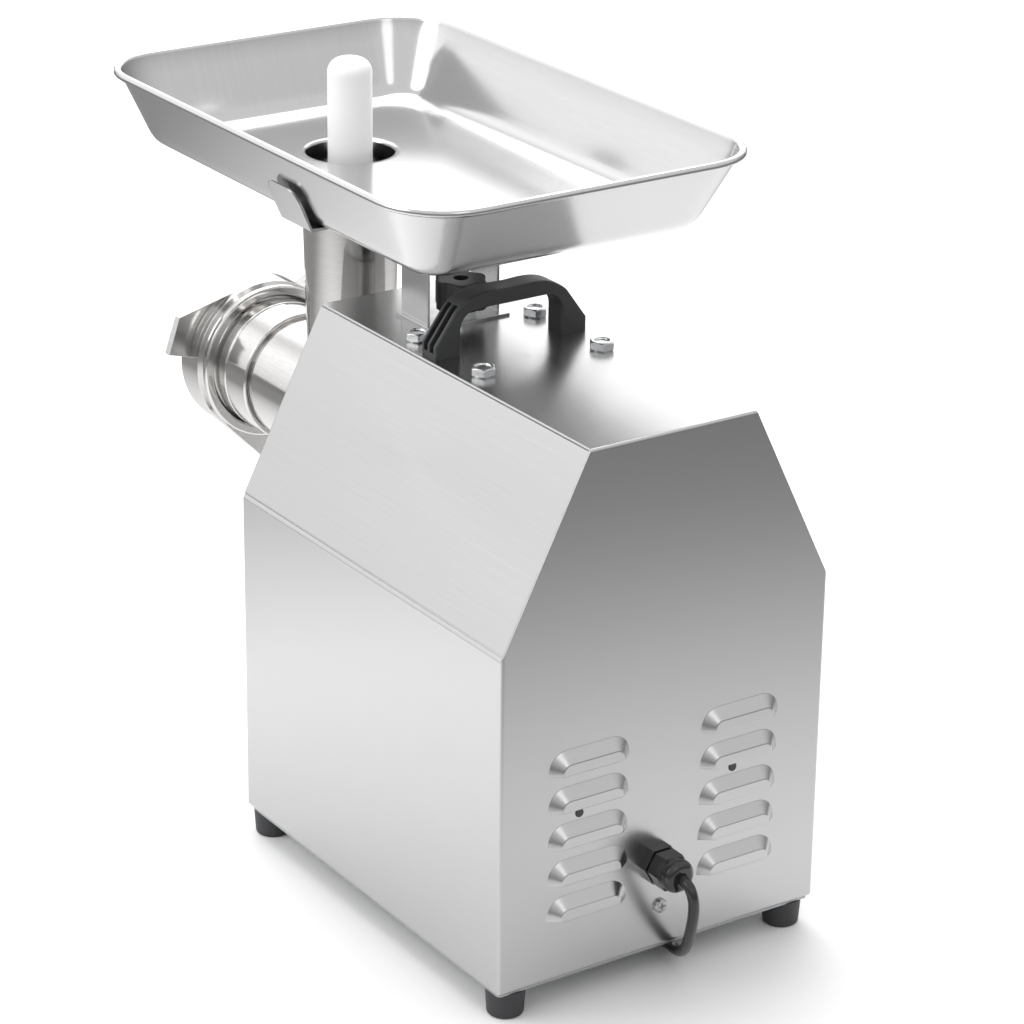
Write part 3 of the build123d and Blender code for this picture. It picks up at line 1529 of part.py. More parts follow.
cord_radii = bend_radii(cord_route)
with BuildPart() as power_cord:
    with BuildLine() as cord_path:
        FilletPolyline(*cord_route, radius=cord_radii)
    with BuildSketch(Plane(origin=cord_path.line @ 0, z_dir=cord_path.line % 0)):
        Circle(cord_radius)
    sweep()
swept_volume = power_cord.part.volume
with BuildPart(mode=Mode.PRIVATE) as cord_end:
    with BuildSketch(along_side(coil_x - 10.0)):
        with Locations((plug_y, plug_z)):
            Circle(cord_radius)
    extrude(amount=plug_start_x - coil_x + 10.0)
with power_cord:
    add(cord_end.part)
print("cord radii", [round(radius, 1) for radius in cord_radii])
cord_length = sum(edge.length for edge in cord_path.edges())
cord_share = swept_volume / (pi * cord_radius**2 * cord_length)
print("cord tube length", round(cord_length, 1), "volume share", round(cord_share, 4))

with BuildPart() as cord_coil:
    with BuildSketch(Plane.XY.offset(0.05)):
        with Locations((coil_x, coil_y)):
            Circle(coil_outer)
            Circle(coil_inner, mode=Mode.SUBTRACT)
    extrude(amount=cord_diameter * coil_turns_high)

relief_length = 18.0
plug_length = 34.0
plug_height = 2 * plug_z - 0.1
with BuildPart() as plug_body:
    with BuildSketch(along_side(plug_start_x)):
        with Locations((plug_y, plug_z)):
            Circle(cord_radius + 0.6)
    with BuildSketch(along_side(plug_start_x - relief_length)):
        with Locations((plug_y, plug_z)):
            Circle(cord_radius + 3.0)
    loft()
    with BuildSketch(along_side(plug_start_x - relief_length)):
        with Locations((plug_y, plug_z)):
            RectangleRounded(24.0, plug_height, 4.0)
    extrude(amount=-plug_length)
    fillet(plug_body.edges().filter_by(lambda e: e.center().X < plug_start_x - relief_length - plug_length + 0.1), 2.0)

pin_length = 16.0
with BuildPart() as plug_pins:
    with BuildSketch(along_side(plug_start_x - relief_length - plug_length + 4.0)):
        with Locations((plug_y - 6.35, plug_z), (plug_y + 6.35, plug_z)):
            Rectangle(1.5, 6.3)
    extrude(amount=-pin_length - 4.0)

# ---- files -----------------------------------------------------------------------------

pieces = {
    "body_shell": body_shell,
    "slope_panel_right": slope_panel_right,
    "slope_panel_left": slope_panel_left,
    "front_panel": front_panel,
    "base_plate": base_plate,
    "base_screws": base_screws,
    "feet": feet,
    "foot_screws": foot_screws,
    "top_bolts": top_bolts,
    "carry_handle": carry_handle,
    "handle_screws": handle_screws,
    "tray_bracket": tray_bracket,
    "stud_bush": stud_bush,
    "lock_knob": lock_knob,
    "knob_stud": knob_stud,
    "cable_gland": cable_gland,
    "gland_locknut": gland_locknut,
    "panel_rivets": panel_rivets,
    "earth_screw": earth_screw,
    "switch_body": switch_body,
    "switch_rocker": switch_rocker,
    "breaker_body": breaker_body,
    "reset_button": reset_button,
    "gearbox_case": gearbox_case,
    "gearbox_cover": gearbox_cover,
    "head_socket": head_socket,
    "socket_bolts": socket_bolts,
    "oil_seal": oil_seal,
    "output_bearings": output_bearings,
    "layshaft_bearings": layshaft_bearings,
    "motor_bearings": motor_bearings,
    "output_shaft": output_shaft,
    "output_gear": output_gear,
    "layshaft": layshaft,
    "lay_gear": lay_gear,
    "rotor_shaft": rotor_shaft,
    "rotor_core": rotor_core,
    "cooling_fan": cooling_fan,
    "motor_frame": motor_frame,
    "motor_stator": motor_stator,
    "motor_windings": motor_windings,
    "motor_end_shield": motor_end_shield,
    "motor_tie_bolts": motor_tie_bolts,
    "motor_cradle": motor_cradle,
    "capacitor": capacitor,
    "capacitor_clamp": capacitor_clamp,
    "terminal_block": terminal_block,
    "grinding_head": grinding_head,
    "plate_pin": plate_pin,
    "auger": auger,
    "auger_washer": auger_washer,
    "knife": knife,
    "cutting_plate": cutting_plate,
    "ring_nut": ring_nut,
    "feed_pan": feed_pan,
    "pusher": pusher,
    "power_cord": power_cord,
    "cord_coil": cord_coil,
    "plug_body": plug_body,
    "plug_pins": plug_pins,
}
os.makedirs("parts", exist_ok=True)
for name, piece in pieces.items():
    piece.part.label = name
    export_step(piece.part, f"parts/{name}.step")
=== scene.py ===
from math import cos, pi, radians, sin, tau

import bmesh
import bpy
import numpy as np
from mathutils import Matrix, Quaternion, Vector


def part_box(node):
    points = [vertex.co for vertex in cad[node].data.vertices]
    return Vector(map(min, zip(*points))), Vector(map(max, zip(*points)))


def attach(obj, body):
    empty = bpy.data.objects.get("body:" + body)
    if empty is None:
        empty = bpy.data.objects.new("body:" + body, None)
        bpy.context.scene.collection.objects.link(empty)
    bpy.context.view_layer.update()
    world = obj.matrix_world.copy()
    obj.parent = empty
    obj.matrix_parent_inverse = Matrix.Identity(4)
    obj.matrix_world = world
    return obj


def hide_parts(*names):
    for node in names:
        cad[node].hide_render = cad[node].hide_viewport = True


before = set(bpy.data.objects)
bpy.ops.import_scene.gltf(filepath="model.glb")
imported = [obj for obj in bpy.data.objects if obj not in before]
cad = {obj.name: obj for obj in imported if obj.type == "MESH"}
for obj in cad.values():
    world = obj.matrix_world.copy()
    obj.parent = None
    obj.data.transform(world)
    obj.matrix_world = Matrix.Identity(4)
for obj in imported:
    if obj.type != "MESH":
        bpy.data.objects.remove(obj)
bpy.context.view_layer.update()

# ---- studio ----------------------------------------------------------------------------
# A pale sweep of floor under a white tent, with the camera behind and to the right of the grinder.
# The polished parts see the floor's colour darkened with distance: painted shade, only in glossy rays.

camera_azimuth = radians(145.96)
camera_elevation = radians(22.48)
camera_roll = radians(0.76)
camera_place = (1.06342, 1.63729, 1.01625)

camera = bpy.data.objects.new("camera", bpy.data.cameras.new("camera"))
camera.data.lens = 124.76
camera.data.sensor_width = 36.0
camera_back = Vector(
    (
        sin(camera_azimuth) * cos(camera_elevation),
        -cos(camera_azimuth) * cos(camera_elevation),
        sin(camera_elevation),
    )
)
camera.location = camera_place
camera.rotation_mode = "QUATERNION"
camera.rotation_quaternion = camera_back.to_track_quat("Z", "Y") @ Quaternion((0, 0, 1), camera_roll)
bpy.context.scene.collection.objects.link(camera)
bpy.context.scene.camera = camera
bpy.context.scene.view_settings.view_transform = "Standard"


def place(tree, kind, inputs=None, **properties):
    """A shader node with its properties set, and each input given a value or linked to a socket."""
    node = tree.nodes.new("ShaderNode" + kind)
    for name, value in properties.items():
        setattr(node, name, value)
    for key, value in (inputs or {}).items():
        if isinstance(value, bpy.types.NodeSocket):
            tree.links.new(value, node.inputs[key])
        else:
            node.inputs[key].default_value = value
    return node


def blend_colour(tree, factor, first, second, mode="MIX"):
    """The colour that goes from first to second with the factor."""
    node = place(tree, "Mix", {0: factor, 6: first, 7: second}, data_type="RGBA", blend_type=mode)
    return node.outputs[2]


def stretch_range(tree, value, low, high, to_low, to_high):
    """A value between low and high moved to the range between to_low and to_high, and held there."""
    inputs = {"Value": value, "From Min": low, "From Max": high, "To Min": to_low, "To Max": to_high}
    return place(tree, "MapRange", inputs, clamp=True).outputs[0]


def new_material(name):
    """An empty node material, and its tree."""
    material = bpy.data.materials.new(name)
    material.use_nodes = True
    material.node_tree.nodes.clear()
    return material, material.node_tree


def finish_shader(tree, inputs):
    """Ends a material's tree in a Principled shader with these inputs."""
    shader = place(tree, "BsdfPrincipled", inputs)
    place(tree, "OutputMaterial", {"Surface": shader.outputs[0]})
    return shader


def make_studio():
    """The floor, the world and the lights."""
    material, tree = new_material("studio_floor")
    coords = place(tree, "TexCoord").outputs["Object"]
    near = place(tree, "VectorMath", {0: coords, 1: (0.6, 1.0, 0.0)}, operation="MULTIPLY")
    away = place(tree, "VectorMath", {0: near.outputs[0]}, operation="LENGTH").outputs["Value"]
    # Painted shade: in glossy rays the floor's colour is darkened with distance from the grinder, in
    # place of light falling off.
    far = stretch_range(tree, away, 0.3, 0.85, 0.0, 1.0)
    seen_in_gloss = place(tree, "LightPath").outputs["Is Glossy Ray"]
    painted_shade_in_gloss = place(tree, "Math", {0: far, 1: seen_in_gloss}, operation="MULTIPLY").outputs[0]
    colour = blend_colour(tree, painted_shade_in_gloss, (0.9, 0.9, 0.9, 1), (0.2, 0.2, 0.2, 1))
    finish_shader(tree, {"Base Color": colour, "Roughness": 0.9, "Specular IOR Level": 0.1})
    mesh = bpy.data.meshes.new("studio_floor")
    reach = 8.0
    corners = [(-reach, -reach, 0), (reach, -reach, 0), (reach, reach, 0), (-reach, reach, 0)]
    mesh.from_pydata(corners, [], [(0, 1, 2, 3)])
    mesh.materials.append(material)
    floor = bpy.data.objects.new("studio_floor", mesh)
    bpy.context.scene.collection.objects.link(floor)

    world = bpy.data.worlds.new("studio_tent")
    bpy.context.scene.world = world
    world.use_nodes = True
    tree = world.node_tree
    tree.nodes.clear()
    upward = place(tree, "TexCoord").outputs["Generated"]
    height = place(tree, "SeparateXYZ", {0: upward}).outputs["Z"]
    tent = stretch_range(tree, height, 0.0, 0.5, 0.35, 0.95)
    bright_panels = (((0.615, -0.766, 0.184), 0.8, 0.75), ((-0.517, -0.766, 0.382), 0.75, 1.3))
    for towards, least, gain in bright_panels:
        facing = place(tree, "VectorMath", {0: upward, 1: towards}, operation="DOT_PRODUCT")
        panel = stretch_range(tree, facing.outputs["Value"], least, 0.95, 0.0, gain)
        tent = place(tree, "Math", {0: tent, 1: panel}, operation="ADD").outputs[0]
    seen_direct = place(tree, "LightPath").outputs["Is Camera Ray"]
    level = place(tree, "Mix", {0: seen_direct, 2: tent, 3: 0.97}, data_type="FLOAT").outputs[0]
    sky = place(tree, "Background", {"Color": (1, 1, 1, 1), "Strength": level})
    place(tree, "OutputWorld", {"Surface": sky.outputs[0]})

    lamps = (
        ("roof_lamp", (-0.3, -0.9, 2.2), 2.2, 34.0),
        ("side_lamp", (1.9, -0.5, 1.5), 1.4, 16.0),
        ("rear_lamp", (0.2, 2.6, 1.9), 1.2, 3.0),
    )
    for name, spot, size, power in lamps:
        lamp = bpy.data.objects.new(name, bpy.data.lights.new(name, "AREA"))
        lamp.data.shape = "DISK"
        lamp.data.size = size
        lamp.data.energy = power
        lamp.location = spot
        lamp.rotation_euler = (Vector(spot) - Vector((0, 0, 0.2))).to_track_quat("Z", "Y").to_euler()
        bpy.context.scene.collection.objects.link(lamp)


make_studio()

# ---- housing ---------------------------------------------------------------------------
# The housing is one folded sheet of brushed stainless steel with two separate cheeks, screwed
# to a base plate. The sheet is satin from long-grain belt polishing.


def new_group(name, inputs, outputs):
    """A shader node group with these named sockets, its tree and its input and output nodes."""
    group = bpy.data.node_groups.new(name, "ShaderNodeTree")
    for label, kind in outputs:
        group.interface.new_socket(label, in_out="OUTPUT", socket_type="NodeSocket" + kind)
    for label, kind in inputs:
        group.interface.new_socket(label, in_out="INPUT", socket_type="NodeSocket" + kind)
    return group, group.nodes.new("NodeGroupInput"), group.nodes.new("NodeGroupOutput")


def make_belt_grain():
    """Long scratches: noise drawn out along the belt, once coarse and once fine, and their bump."""
    inputs = (("Stretch", "Vector"), ("Depth", "Float"))
    outputs = (("Streaks", "Float"), ("Normal", "Vector"))
    group, given, made = new_group("belt_grain", inputs, outputs)
    coords = place(group, "TexCoord").outputs["Object"]
    drawn = place(group, "VectorMath", {0: coords, 1: given.outputs["Stretch"]}, operation="MULTIPLY")
    coarse = place(group, "TexNoise", {"Vector": drawn.outputs[0], "Scale": 1.0, "Detail": 5.0})
    fine = place(group, "TexNoise", {"Vector": drawn.outputs[0], "Scale": 3.1, "Detail": 3.0})
    both = place(
        group, "Math", {0: coarse.outputs["Fac"], 1: fine.outputs["Fac"]}, operation="MULTIPLY"
    )
    group.links.new(stretch_range(group, both.outputs[0], 0.12, 0.4, 0.0, 1.0), made.inputs["Streaks"])
    bump = place(
        group,
        "Bump",
        {"Height": both.outputs[0], "Strength": given.outputs["Depth"], "Distance": 0.0004},
    )
    group.links.new(bump.outputs[0], made.inputs["Normal"])
    return group


def make_hand_marks():
    """Cloudy smears, from soft noise."""
    group, given, made = new_group("hand_marks", (("Scale", "Float"),), (("Marks", "Float"),))
    coords = place(group, "TexCoord").outputs["Object"]
    clouds = place(
        group, "TexNoise", {"Vector": coords, "Scale": given.outputs["Scale"], "Detail": 4.0}
    )
    clear = stretch_range(group, clouds.outputs["Fac"], 0.35, 0.7, 0.0, 1.0)
    group.links.new(clear, made.inputs["Marks"])
    return group


def make_edge_highlight_and_rounding():
    """Where the surface turns within the radius: the share that gets a painted edge highlight, and a
    normal that rounds the edge.
    """
    inputs = (("Radius", "Float"), ("Normal", "Vector"))
    group, given, made = new_group("edge_highlight_and_rounding", inputs, (("Edge", "Float"), ("Normal", "Vector")))
    rounded = place(group, "Bevel", {"Radius": given.outputs["Radius"]}, samples=6)
    group.links.new(given.outputs["Normal"], rounded.inputs["Normal"])
    flat = place(group, "NewGeometry").outputs["Normal"]
    together = place(group, "VectorMath", {0: rounded.outputs[0], 1: flat}, operation="DOT_PRODUCT")
    edge = stretch_range(group, together.outputs["Value"], 0.8, 0.995, 1.0, 0.0)
    group.links.new(edge, made.inputs["Edge"])
    group.links.new(rounded.outputs[0], made.inputs["Normal"])
    return group


belt_grain = make_belt_grain()
hand_marks = make_hand_marks()
edge_highlight_and_rounding = make_edge_highlight_and_rounding()


def use_group(tree, group, inputs):
    """The group placed in a material's tree, with its inputs set."""
    node = tree.nodes.new("ShaderNodeGroup")
    node.node_tree = group
    for key, value in inputs.items():
        if isinstance(value, bpy.types.NodeSocket):
            tree.links.new(value, node.inputs[key])
        else:
            node.inputs[key].default_value = value
    return node.outputs


def steel_finish(
    name, colour, roughness, stretch, depth, marks=0.1, directional=0.0, edge=0.0006, streak=0.1
):
    """Metal with drawn scratches, smears that dull it, and a painted highlight that makes the edges
    brighter.
    """
    material, tree = new_material(name)
    grain = use_group(tree, belt_grain, {"Stretch": stretch, "Depth": depth})
    dull = roughness
    if marks:
        smear = use_group(tree, hand_marks, {"Scale": 9.0})["Marks"]
        dull = stretch_range(tree, smear, 0.0, 1.5, roughness, roughness + marks)
    highlight_and_rounding = use_group(tree, edge_highlight_and_rounding, {"Radius": edge, "Normal": grain["Normal"]})
    # Painted highlight: the base colour is raised by 15% where the bevel finds an edge.
    dark = tuple((1 - streak) * share for share in colour)
    painted_edge_highlight = tuple(min(1.0, 1.15 * share) for share in colour)
    tone = blend_colour(tree, grain["Streaks"], (*dark, 1), (*colour, 1))
    tone = blend_colour(tree, highlight_and_rounding["Edge"], tone, (*painted_edge_highlight, 1))
    finish_shader(
        tree,
        {
            "Base Color": tone,
            "Metallic": 1.0,
            "Roughness": dull,
            "Anisotropic": directional,
            "Normal": highlight_and_rounding["Normal"],
        },
    )
    return material


def add_surface(name, points, faces, finish, body, nodes, slot, crease=radians(35)):
    """A mesh piece with faces outwards, smooth except over edges that turn by more than the crease."""
    mesh = bpy.data.meshes.new(name)
    mesh.from_pydata(points.reshape(-1, 3).tolist(), [], faces)
    shape = bmesh.new()
    shape.from_mesh(mesh)
    bmesh.ops.recalc_face_normals(shape, faces=shape.faces)
    shape.to_mesh(mesh)
    shape.free()
    mesh.materials.append(finish)
    mesh.shade_smooth()
    mesh.set_sharp_from_angle(angle=crease)
    piece = bpy.data.objects.new(name, mesh)
    bpy.context.scene.collection.objects.link(piece)
    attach(piece, body)
    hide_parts(*nodes)
    return piece


def ring_faces(rows, columns, closed=False, start=0):
    """Quads between neighbouring rows of a grid whose columns go right round. A closed grid's last
    row meets its first; an open one gets a flat face over each end."""
    row = np.arange(rows if closed else rows - 1)[:, None]
    column = np.arange(columns)[None, :]
    following = (row + 1) % rows
    beside = (column + 1) % columns
    corners = (
        row * columns + column,
        row * columns + beside,
        following * columns + beside,
        following * columns + column,
    )
    faces = (np.stack(corners, -1).reshape(-1, 4) + start).tolist()
    if not closed:
        faces.append((start + np.arange(columns)).tolist())
        faces.append((start + (rows - 1) * columns + np.arange(columns)).tolist())
    return faces


def arc(centre, radius, first, last, steps):
    """Points (across, height) on a circle's arc between two angles in degrees."""
    angle = np.radians(np.linspace(first, last, steps))
    return np.stack((centre[0] + radius * np.cos(angle), centre[1] + radius * np.sin(angle)), 1)


def repaint(material, *names):
    """Gives each of these CAD pieces the material."""
    for name in names:
        mesh = cad[name].data
        if not mesh.materials:
            mesh.materials.append(material)
        for index in range(len(mesh.materials)):
            mesh.materials[index] = material


sheet_steel = steel_finish(
    "sheet_steel",
    (0.53, 0.53, 0.53),
    0.25,
    (9.0, 9.0, 1500.0),
    0.02,
    marks=0.0,
    directional=0.3,
    streak=0.035,
)
plate_steel = steel_finish("plate_steel", (0.42, 0.43, 0.44), 0.38, (300.0, 14.0, 14.0), 0.1)
repaint(sheet_steel, "body_shell", "slope_panel_right", "slope_panel_left", "front_panel")
repaint(plate_steel, "base_plate")

# ---- feet ------------------------------------------------------------------------------
# Four moulded rubber feet under the corners of the base plate. Each is held by a screw that goes
# up through its recess into a nut above the plate.


def moulded_finish(name, colour, roughness, scale, depth, painted_edge_colour, edge=0.0008, coat=0.0):
    """Moulded plastic or rubber: a fine mould texture, cloudy gloss, and a painted edge highlight, the
    edges painted in their own colour.
    """
    material, tree = new_material(name)
    coords = place(tree, "TexCoord").outputs["Object"]
    texture = place(tree, "TexNoise", {"Vector": coords, "Scale": scale, "Detail": 3.0})
    bump = place(
        tree, "Bump", {"Height": texture.outputs["Fac"], "Strength": depth, "Distance": 0.0003}
    )
    highlight_and_rounding = use_group(tree, edge_highlight_and_rounding, {"Radius": edge, "Normal": bump.outputs[0]})
    smear = use_group(tree, hand_marks, {"Scale": 22.0})["Marks"]
    # Painted edge highlight: edges take their own colour where the bevel finds them, paler on the dark
    # parts.
    painted_edge_tone = blend_colour(tree, highlight_and_rounding["Edge"], (*colour, 1), (*painted_edge_colour, 1))
    pale = tuple(1.25 * share + 0.004 for share in colour)
    half = place(tree, "Math", {0: smear, 1: 0.4}, operation="MULTIPLY").outputs[0]
    tone = blend_colour(tree, half, painted_edge_tone, (*pale, 1))
    gloss = stretch_range(tree, smear, 0.0, 1.5, roughness, roughness + 0.14)
    finish_shader(
        tree,
        {"Base Color": tone, "Roughness": gloss, "Coat Weight": coat, "Normal": highlight_and_rounding["Normal"]},
    )
    return material


foot_rubber = moulded_finish(
    "foot_rubber_finish", (0.03, 0.03, 0.033), 0.55, 2600.0, 0.35, (0.07, 0.07, 0.07)
)
repaint(foot_rubber, "feet")
screw_steel = steel_finish("screw_steel", (0.5, 0.5, 0.5), 0.3, (400.0, 400.0, 400.0), 0.05)
repaint(screw_steel, "foot_screws", "base_screws", "handle_screws", "earth_screw", "socket_bolts")
repaint(screw_steel, "motor_tie_bolts")

# ---- roof fittings ---------------------------------------------------------------------
# Four turned and zinc-plated hex bolts that carry the gearbox, the moulded nylon handle, the tray
# bracket bent from stainless strip, and the moulded lock knob on its steel stud and hex bush.

bolt_zinc = steel_finish("bolt_zinc", (0.72, 0.73, 0.74), 0.2, (500.0, 500.0, 500.0), 0.1)
bracket_steel = steel_finish(
    "bracket_steel_finish", (0.6, 0.6, 0.6), 0.2, (14.0, 700.0, 14.0), 0.05, directional=0.3
)
handle_plastic = moulded_finish(
    "handle_plastic", (0.035, 0.036, 0.038), 0.42, 1900.0, 0.3, (0.09, 0.09, 0.095)
)
repaint(bolt_zinc, "stud_bush")


def make_roof_bolts():
    """Four hex bolts as rings of points. A row's radius goes from a circle's to a hexagon's with its
    share, the hexagon's being half its flats over the cosine of the angle from the nearest flat's
    middle, and a bevelled row drops where the hexagon stands out past its flats."""
    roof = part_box("body_shell")[1].z
    low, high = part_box("top_bolts")
    half_flats = 0.0065
    head = high.z - roof
    columns = 72
    angle = np.linspace(0, tau, columns, endpoint=False)
    hexagon = half_flats / np.cos((angle % (pi / 3)) - pi / 6)
    rows = np.array(
        [
            (0.0030, 0.0, low.z - roof, 0.0),
            (0.0034, 0.0, low.z - roof, 0.0),
            (0.0040, 0.0, low.z - roof + 0.0008, 0.0),
            (0.0040, 0.0, 0.0, 0.0),
            (0.0062, 0.0, 0.0, 0.0),
            (0.0064, 0.0, 0.0003, 0.0),
            (0.0064, 0.0, 0.0007, 0.0),
            (0.0065, 1.0, 0.0008, 0.0),
            (0.0065, 1.0, head - 0.0005, 0.6),
            (0.0060, 0.0, head, 0.0),
            (0.0049, 0.0, head, 0.0),
            (0.0045, 0.0, head - 0.0003, 0.0),
            (0.0041, 0.0, head - 0.0011, 0.0),
            (0.0034, 0.0, head - 0.0013, 0.0),
            (0.0006, 0.0, head - 0.0010, 0.0),
        ]
    )
    radius = rows[:, :1] * (1 - rows[:, 1:2]) + hexagon * rows[:, 1:2]
    height = roof + rows[:, 2:3] - rows[:, 3:4] * (hexagon - half_flats)
    ring = np.stack((radius * np.cos(angle), radius * np.sin(angle), height), -1)
    across = (high.x - low.x) / 2 - hexagon[0] * cos(pi / 6)
    rear, front = high.y - hexagon.max(), low.y + hexagon.max()
    places = [(side * across, along, 0) for side in (1, -1) for along in (front, rear)]
    points = np.concatenate([ring + np.array(spot) for spot in places])
    faces = []
    for index in range(len(places)):
        faces += ring_faces(len(rows), columns, start=index * len(rows) * columns)
    finish = (bolt_zinc, "housing", ["top_bolts"], "plated_steel")
    add_surface("roof_bolts", points, faces, *finish, crease=radians(24))


make_roof_bolts()
repaint(bracket_steel, "tray_bracket")
repaint(handle_plastic, "carry_handle", "lock_knob")
repaint(screw_steel, "knob_stud")

# ---- gland, rivets, switch -------------------------------------------------------------
# A moulded nylon cable gland clamped through the rear panel, two dark steel rivets, and the
# rocker switch and breaker that snap into the far side.

gland_nylon = moulded_finish(
    "gland_nylon", (0.012, 0.012, 0.012), 0.16, 900.0, 0.12, (0.05, 0.05, 0.05), coat=0.3
)
rivet_steel = steel_finish("rivet_steel", (0.1, 0.1, 0.1), 0.45, (500.0, 500.0, 500.0), 0.1)
switch_red = moulded_finish("switch_red", (0.42, 0.02, 0.02), 0.3, 1200.0, 0.15, (0.55, 0.1, 0.1))
repaint(gland_nylon, "cable_gland", "gland_locknut", "switch_body", "breaker_body")
repaint(rivet_steel, "panel_rivets")
repaint(switch_red, "switch_rocker", "reset_button")

# ---- gearbox and motor -----------------------------------------------------------------
# Inside the housing: a cast alloy gear case with two stages of spur gears in ball bearings, and a
# motor of stacked sheets and copper windings, with its fan, bolted to a painted cradle.

cast_alloy = steel_finish("cast_alloy", (0.5, 0.51, 0.52), 0.5, (800.0, 800.0, 800.0), 0.5)
gear_steel = steel_finish("gear_steel_finish", (0.36, 0.36, 0.37), 0.3, (40.0, 900.0, 40.0), 0.1)
bearing_chrome = steel_finish("bearing_chrome", (0.62, 0.63, 0.65), 0.12, (30.0, 900.0, 30.0), 0.03)
core_steel = steel_finish("core_steel", (0.16, 0.16, 0.17), 0.5, (10.0, 2000.0, 10.0), 0.6)
frame_paint = moulded_finish("frame_paint", (0.06, 0.065, 0.075), 0.4, 900.0, 0.4, (0.3, 0.3, 0.3))
copper_wire = steel_finish("copper_wire", (0.5, 0.2, 0.08), 0.25, (900.0, 40.0, 900.0), 0.5)
fan_black = moulded_finish("fan_black", (0.04, 0.04, 0.04), 0.5, 1500.0, 0.2, (0.08, 0.08, 0.08))
seal_brown = moulded_finish("seal_brown", (0.05, 0.02, 0.015), 0.5, 2000.0, 0.2, (0.09, 0.05, 0.04))
terminal_cream = moulded_finish(
    "terminal_cream", (0.7, 0.64, 0.48), 0.4, 1500.0, 0.15, (0.8, 0.75, 0.6)
)
capacitor_white = moulded_finish(
    "capacitor_white", (0.72, 0.72, 0.69), 0.35, 1200.0, 0.1, (0.8, 0.8, 0.78)
)
repaint(cast_alloy, "gearbox_case", "gearbox_cover", "motor_end_shield", "head_socket")
repaint(gear_steel, "output_gear", "lay_gear", "layshaft", "output_shaft", "rotor_shaft")
repaint(bearing_chrome, "output_bearings", "layshaft_bearings", "motor_bearings")
repaint(core_steel, "rotor_core", "motor_stator")
repaint(frame_paint, "motor_frame", "motor_cradle")
repaint(copper_wire, "motor_windings")
repaint(fan_black, "cooling_fan")
repaint(seal_brown, "oil_seal")
repaint(terminal_cream, "terminal_block")
repaint(capacitor_white, "capacitor")
repaint(bolt_zinc, "capacitor_clamp")

# ---- grinding head ---------------------------------------------------------------------
# A cast and polished stainless head with its feed neck, the worm, knife and plate inside it, and
# the turned ring nut with three sawtooth lugs that holds them in.

polished_steel = steel_finish(
    "polished_steel_finish", (0.66, 0.65, 0.64), 0.1, (60.0, 60.0, 700.0), 0.03, marks=0.1
)
worm_steel = steel_finish("worm_steel", (0.55, 0.55, 0.55), 0.22, (500.0, 60.0, 500.0), 0.1)
washer_nylon = moulded_finish("washer_nylon", (0.75, 0.74, 0.7), 0.4, 1500.0, 0.1, (0.8, 0.8, 0.8))
repaint(polished_steel, "grinding_head", "ring_nut", "plate_pin")
repaint(worm_steel, "auger", "knife", "cutting_plate")
repaint(washer_nylon, "auger_washer")

# ---- feed pan and pusher ---------------------------------------------------------------
# A pan deep-drawn from 1 mm stainless sheet, its rim rolled and its hole drawn down into a collar
# that drops over the feed neck, and a pusher turned from white plastic.

pan_steel = steel_finish(
    "pan_steel_finish", (0.6, 0.6, 0.6), 0.15, (500.0, 16.0, 16.0), 0.012, marks=0.05, streak=0.03
)
# The pusher's edge colour is a little darkened: painted edge shade.
pusher_white = moulded_finish(
    "pusher_white", (0.9, 0.91, 0.9), 0.3, 700.0, 0.12, (0.86, 0.87, 0.86)
)
repaint(pan_steel, "feed_pan")

pan_low, pan_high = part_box("feed_pan")
hole_y = (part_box("pusher")[0].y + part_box("pusher")[1].y) / 2


def rounded_outline(half_width, half_length, corner, centre_y, arc_steps=9, side_steps=24):
    """One closed outline per row: four corner arcs, each followed by points along the straight side
    that leads to the next corner. The four sizes are columns of the same height."""
    turn = np.radians(np.arange(4)[:, None] * 90 + np.linspace(0, 90, arc_steps)[None, :])
    side_x = np.array((1, -1, -1, 1))[:, None]
    side_y = np.array((1, 1, -1, -1))[:, None]
    across = side_x * (half_width - corner)[:, :, None] + corner[:, :, None] * np.cos(turn)
    along = side_y * (half_length - corner)[:, :, None] + corner[:, :, None] * np.sin(turn)
    arcs = np.stack((across, along + centre_y[:, :, None]), -1)
    starts = np.roll(arcs[:, :, :1], -1, axis=1)
    share = np.linspace(0, 1, side_steps + 2)[1:-1, None]
    sides = arcs[:, :, -1:] + (starts - arcs[:, :, -1:]) * share
    return np.concatenate((arcs, sides), 2).reshape(half_width.shape[0], -1, 2)


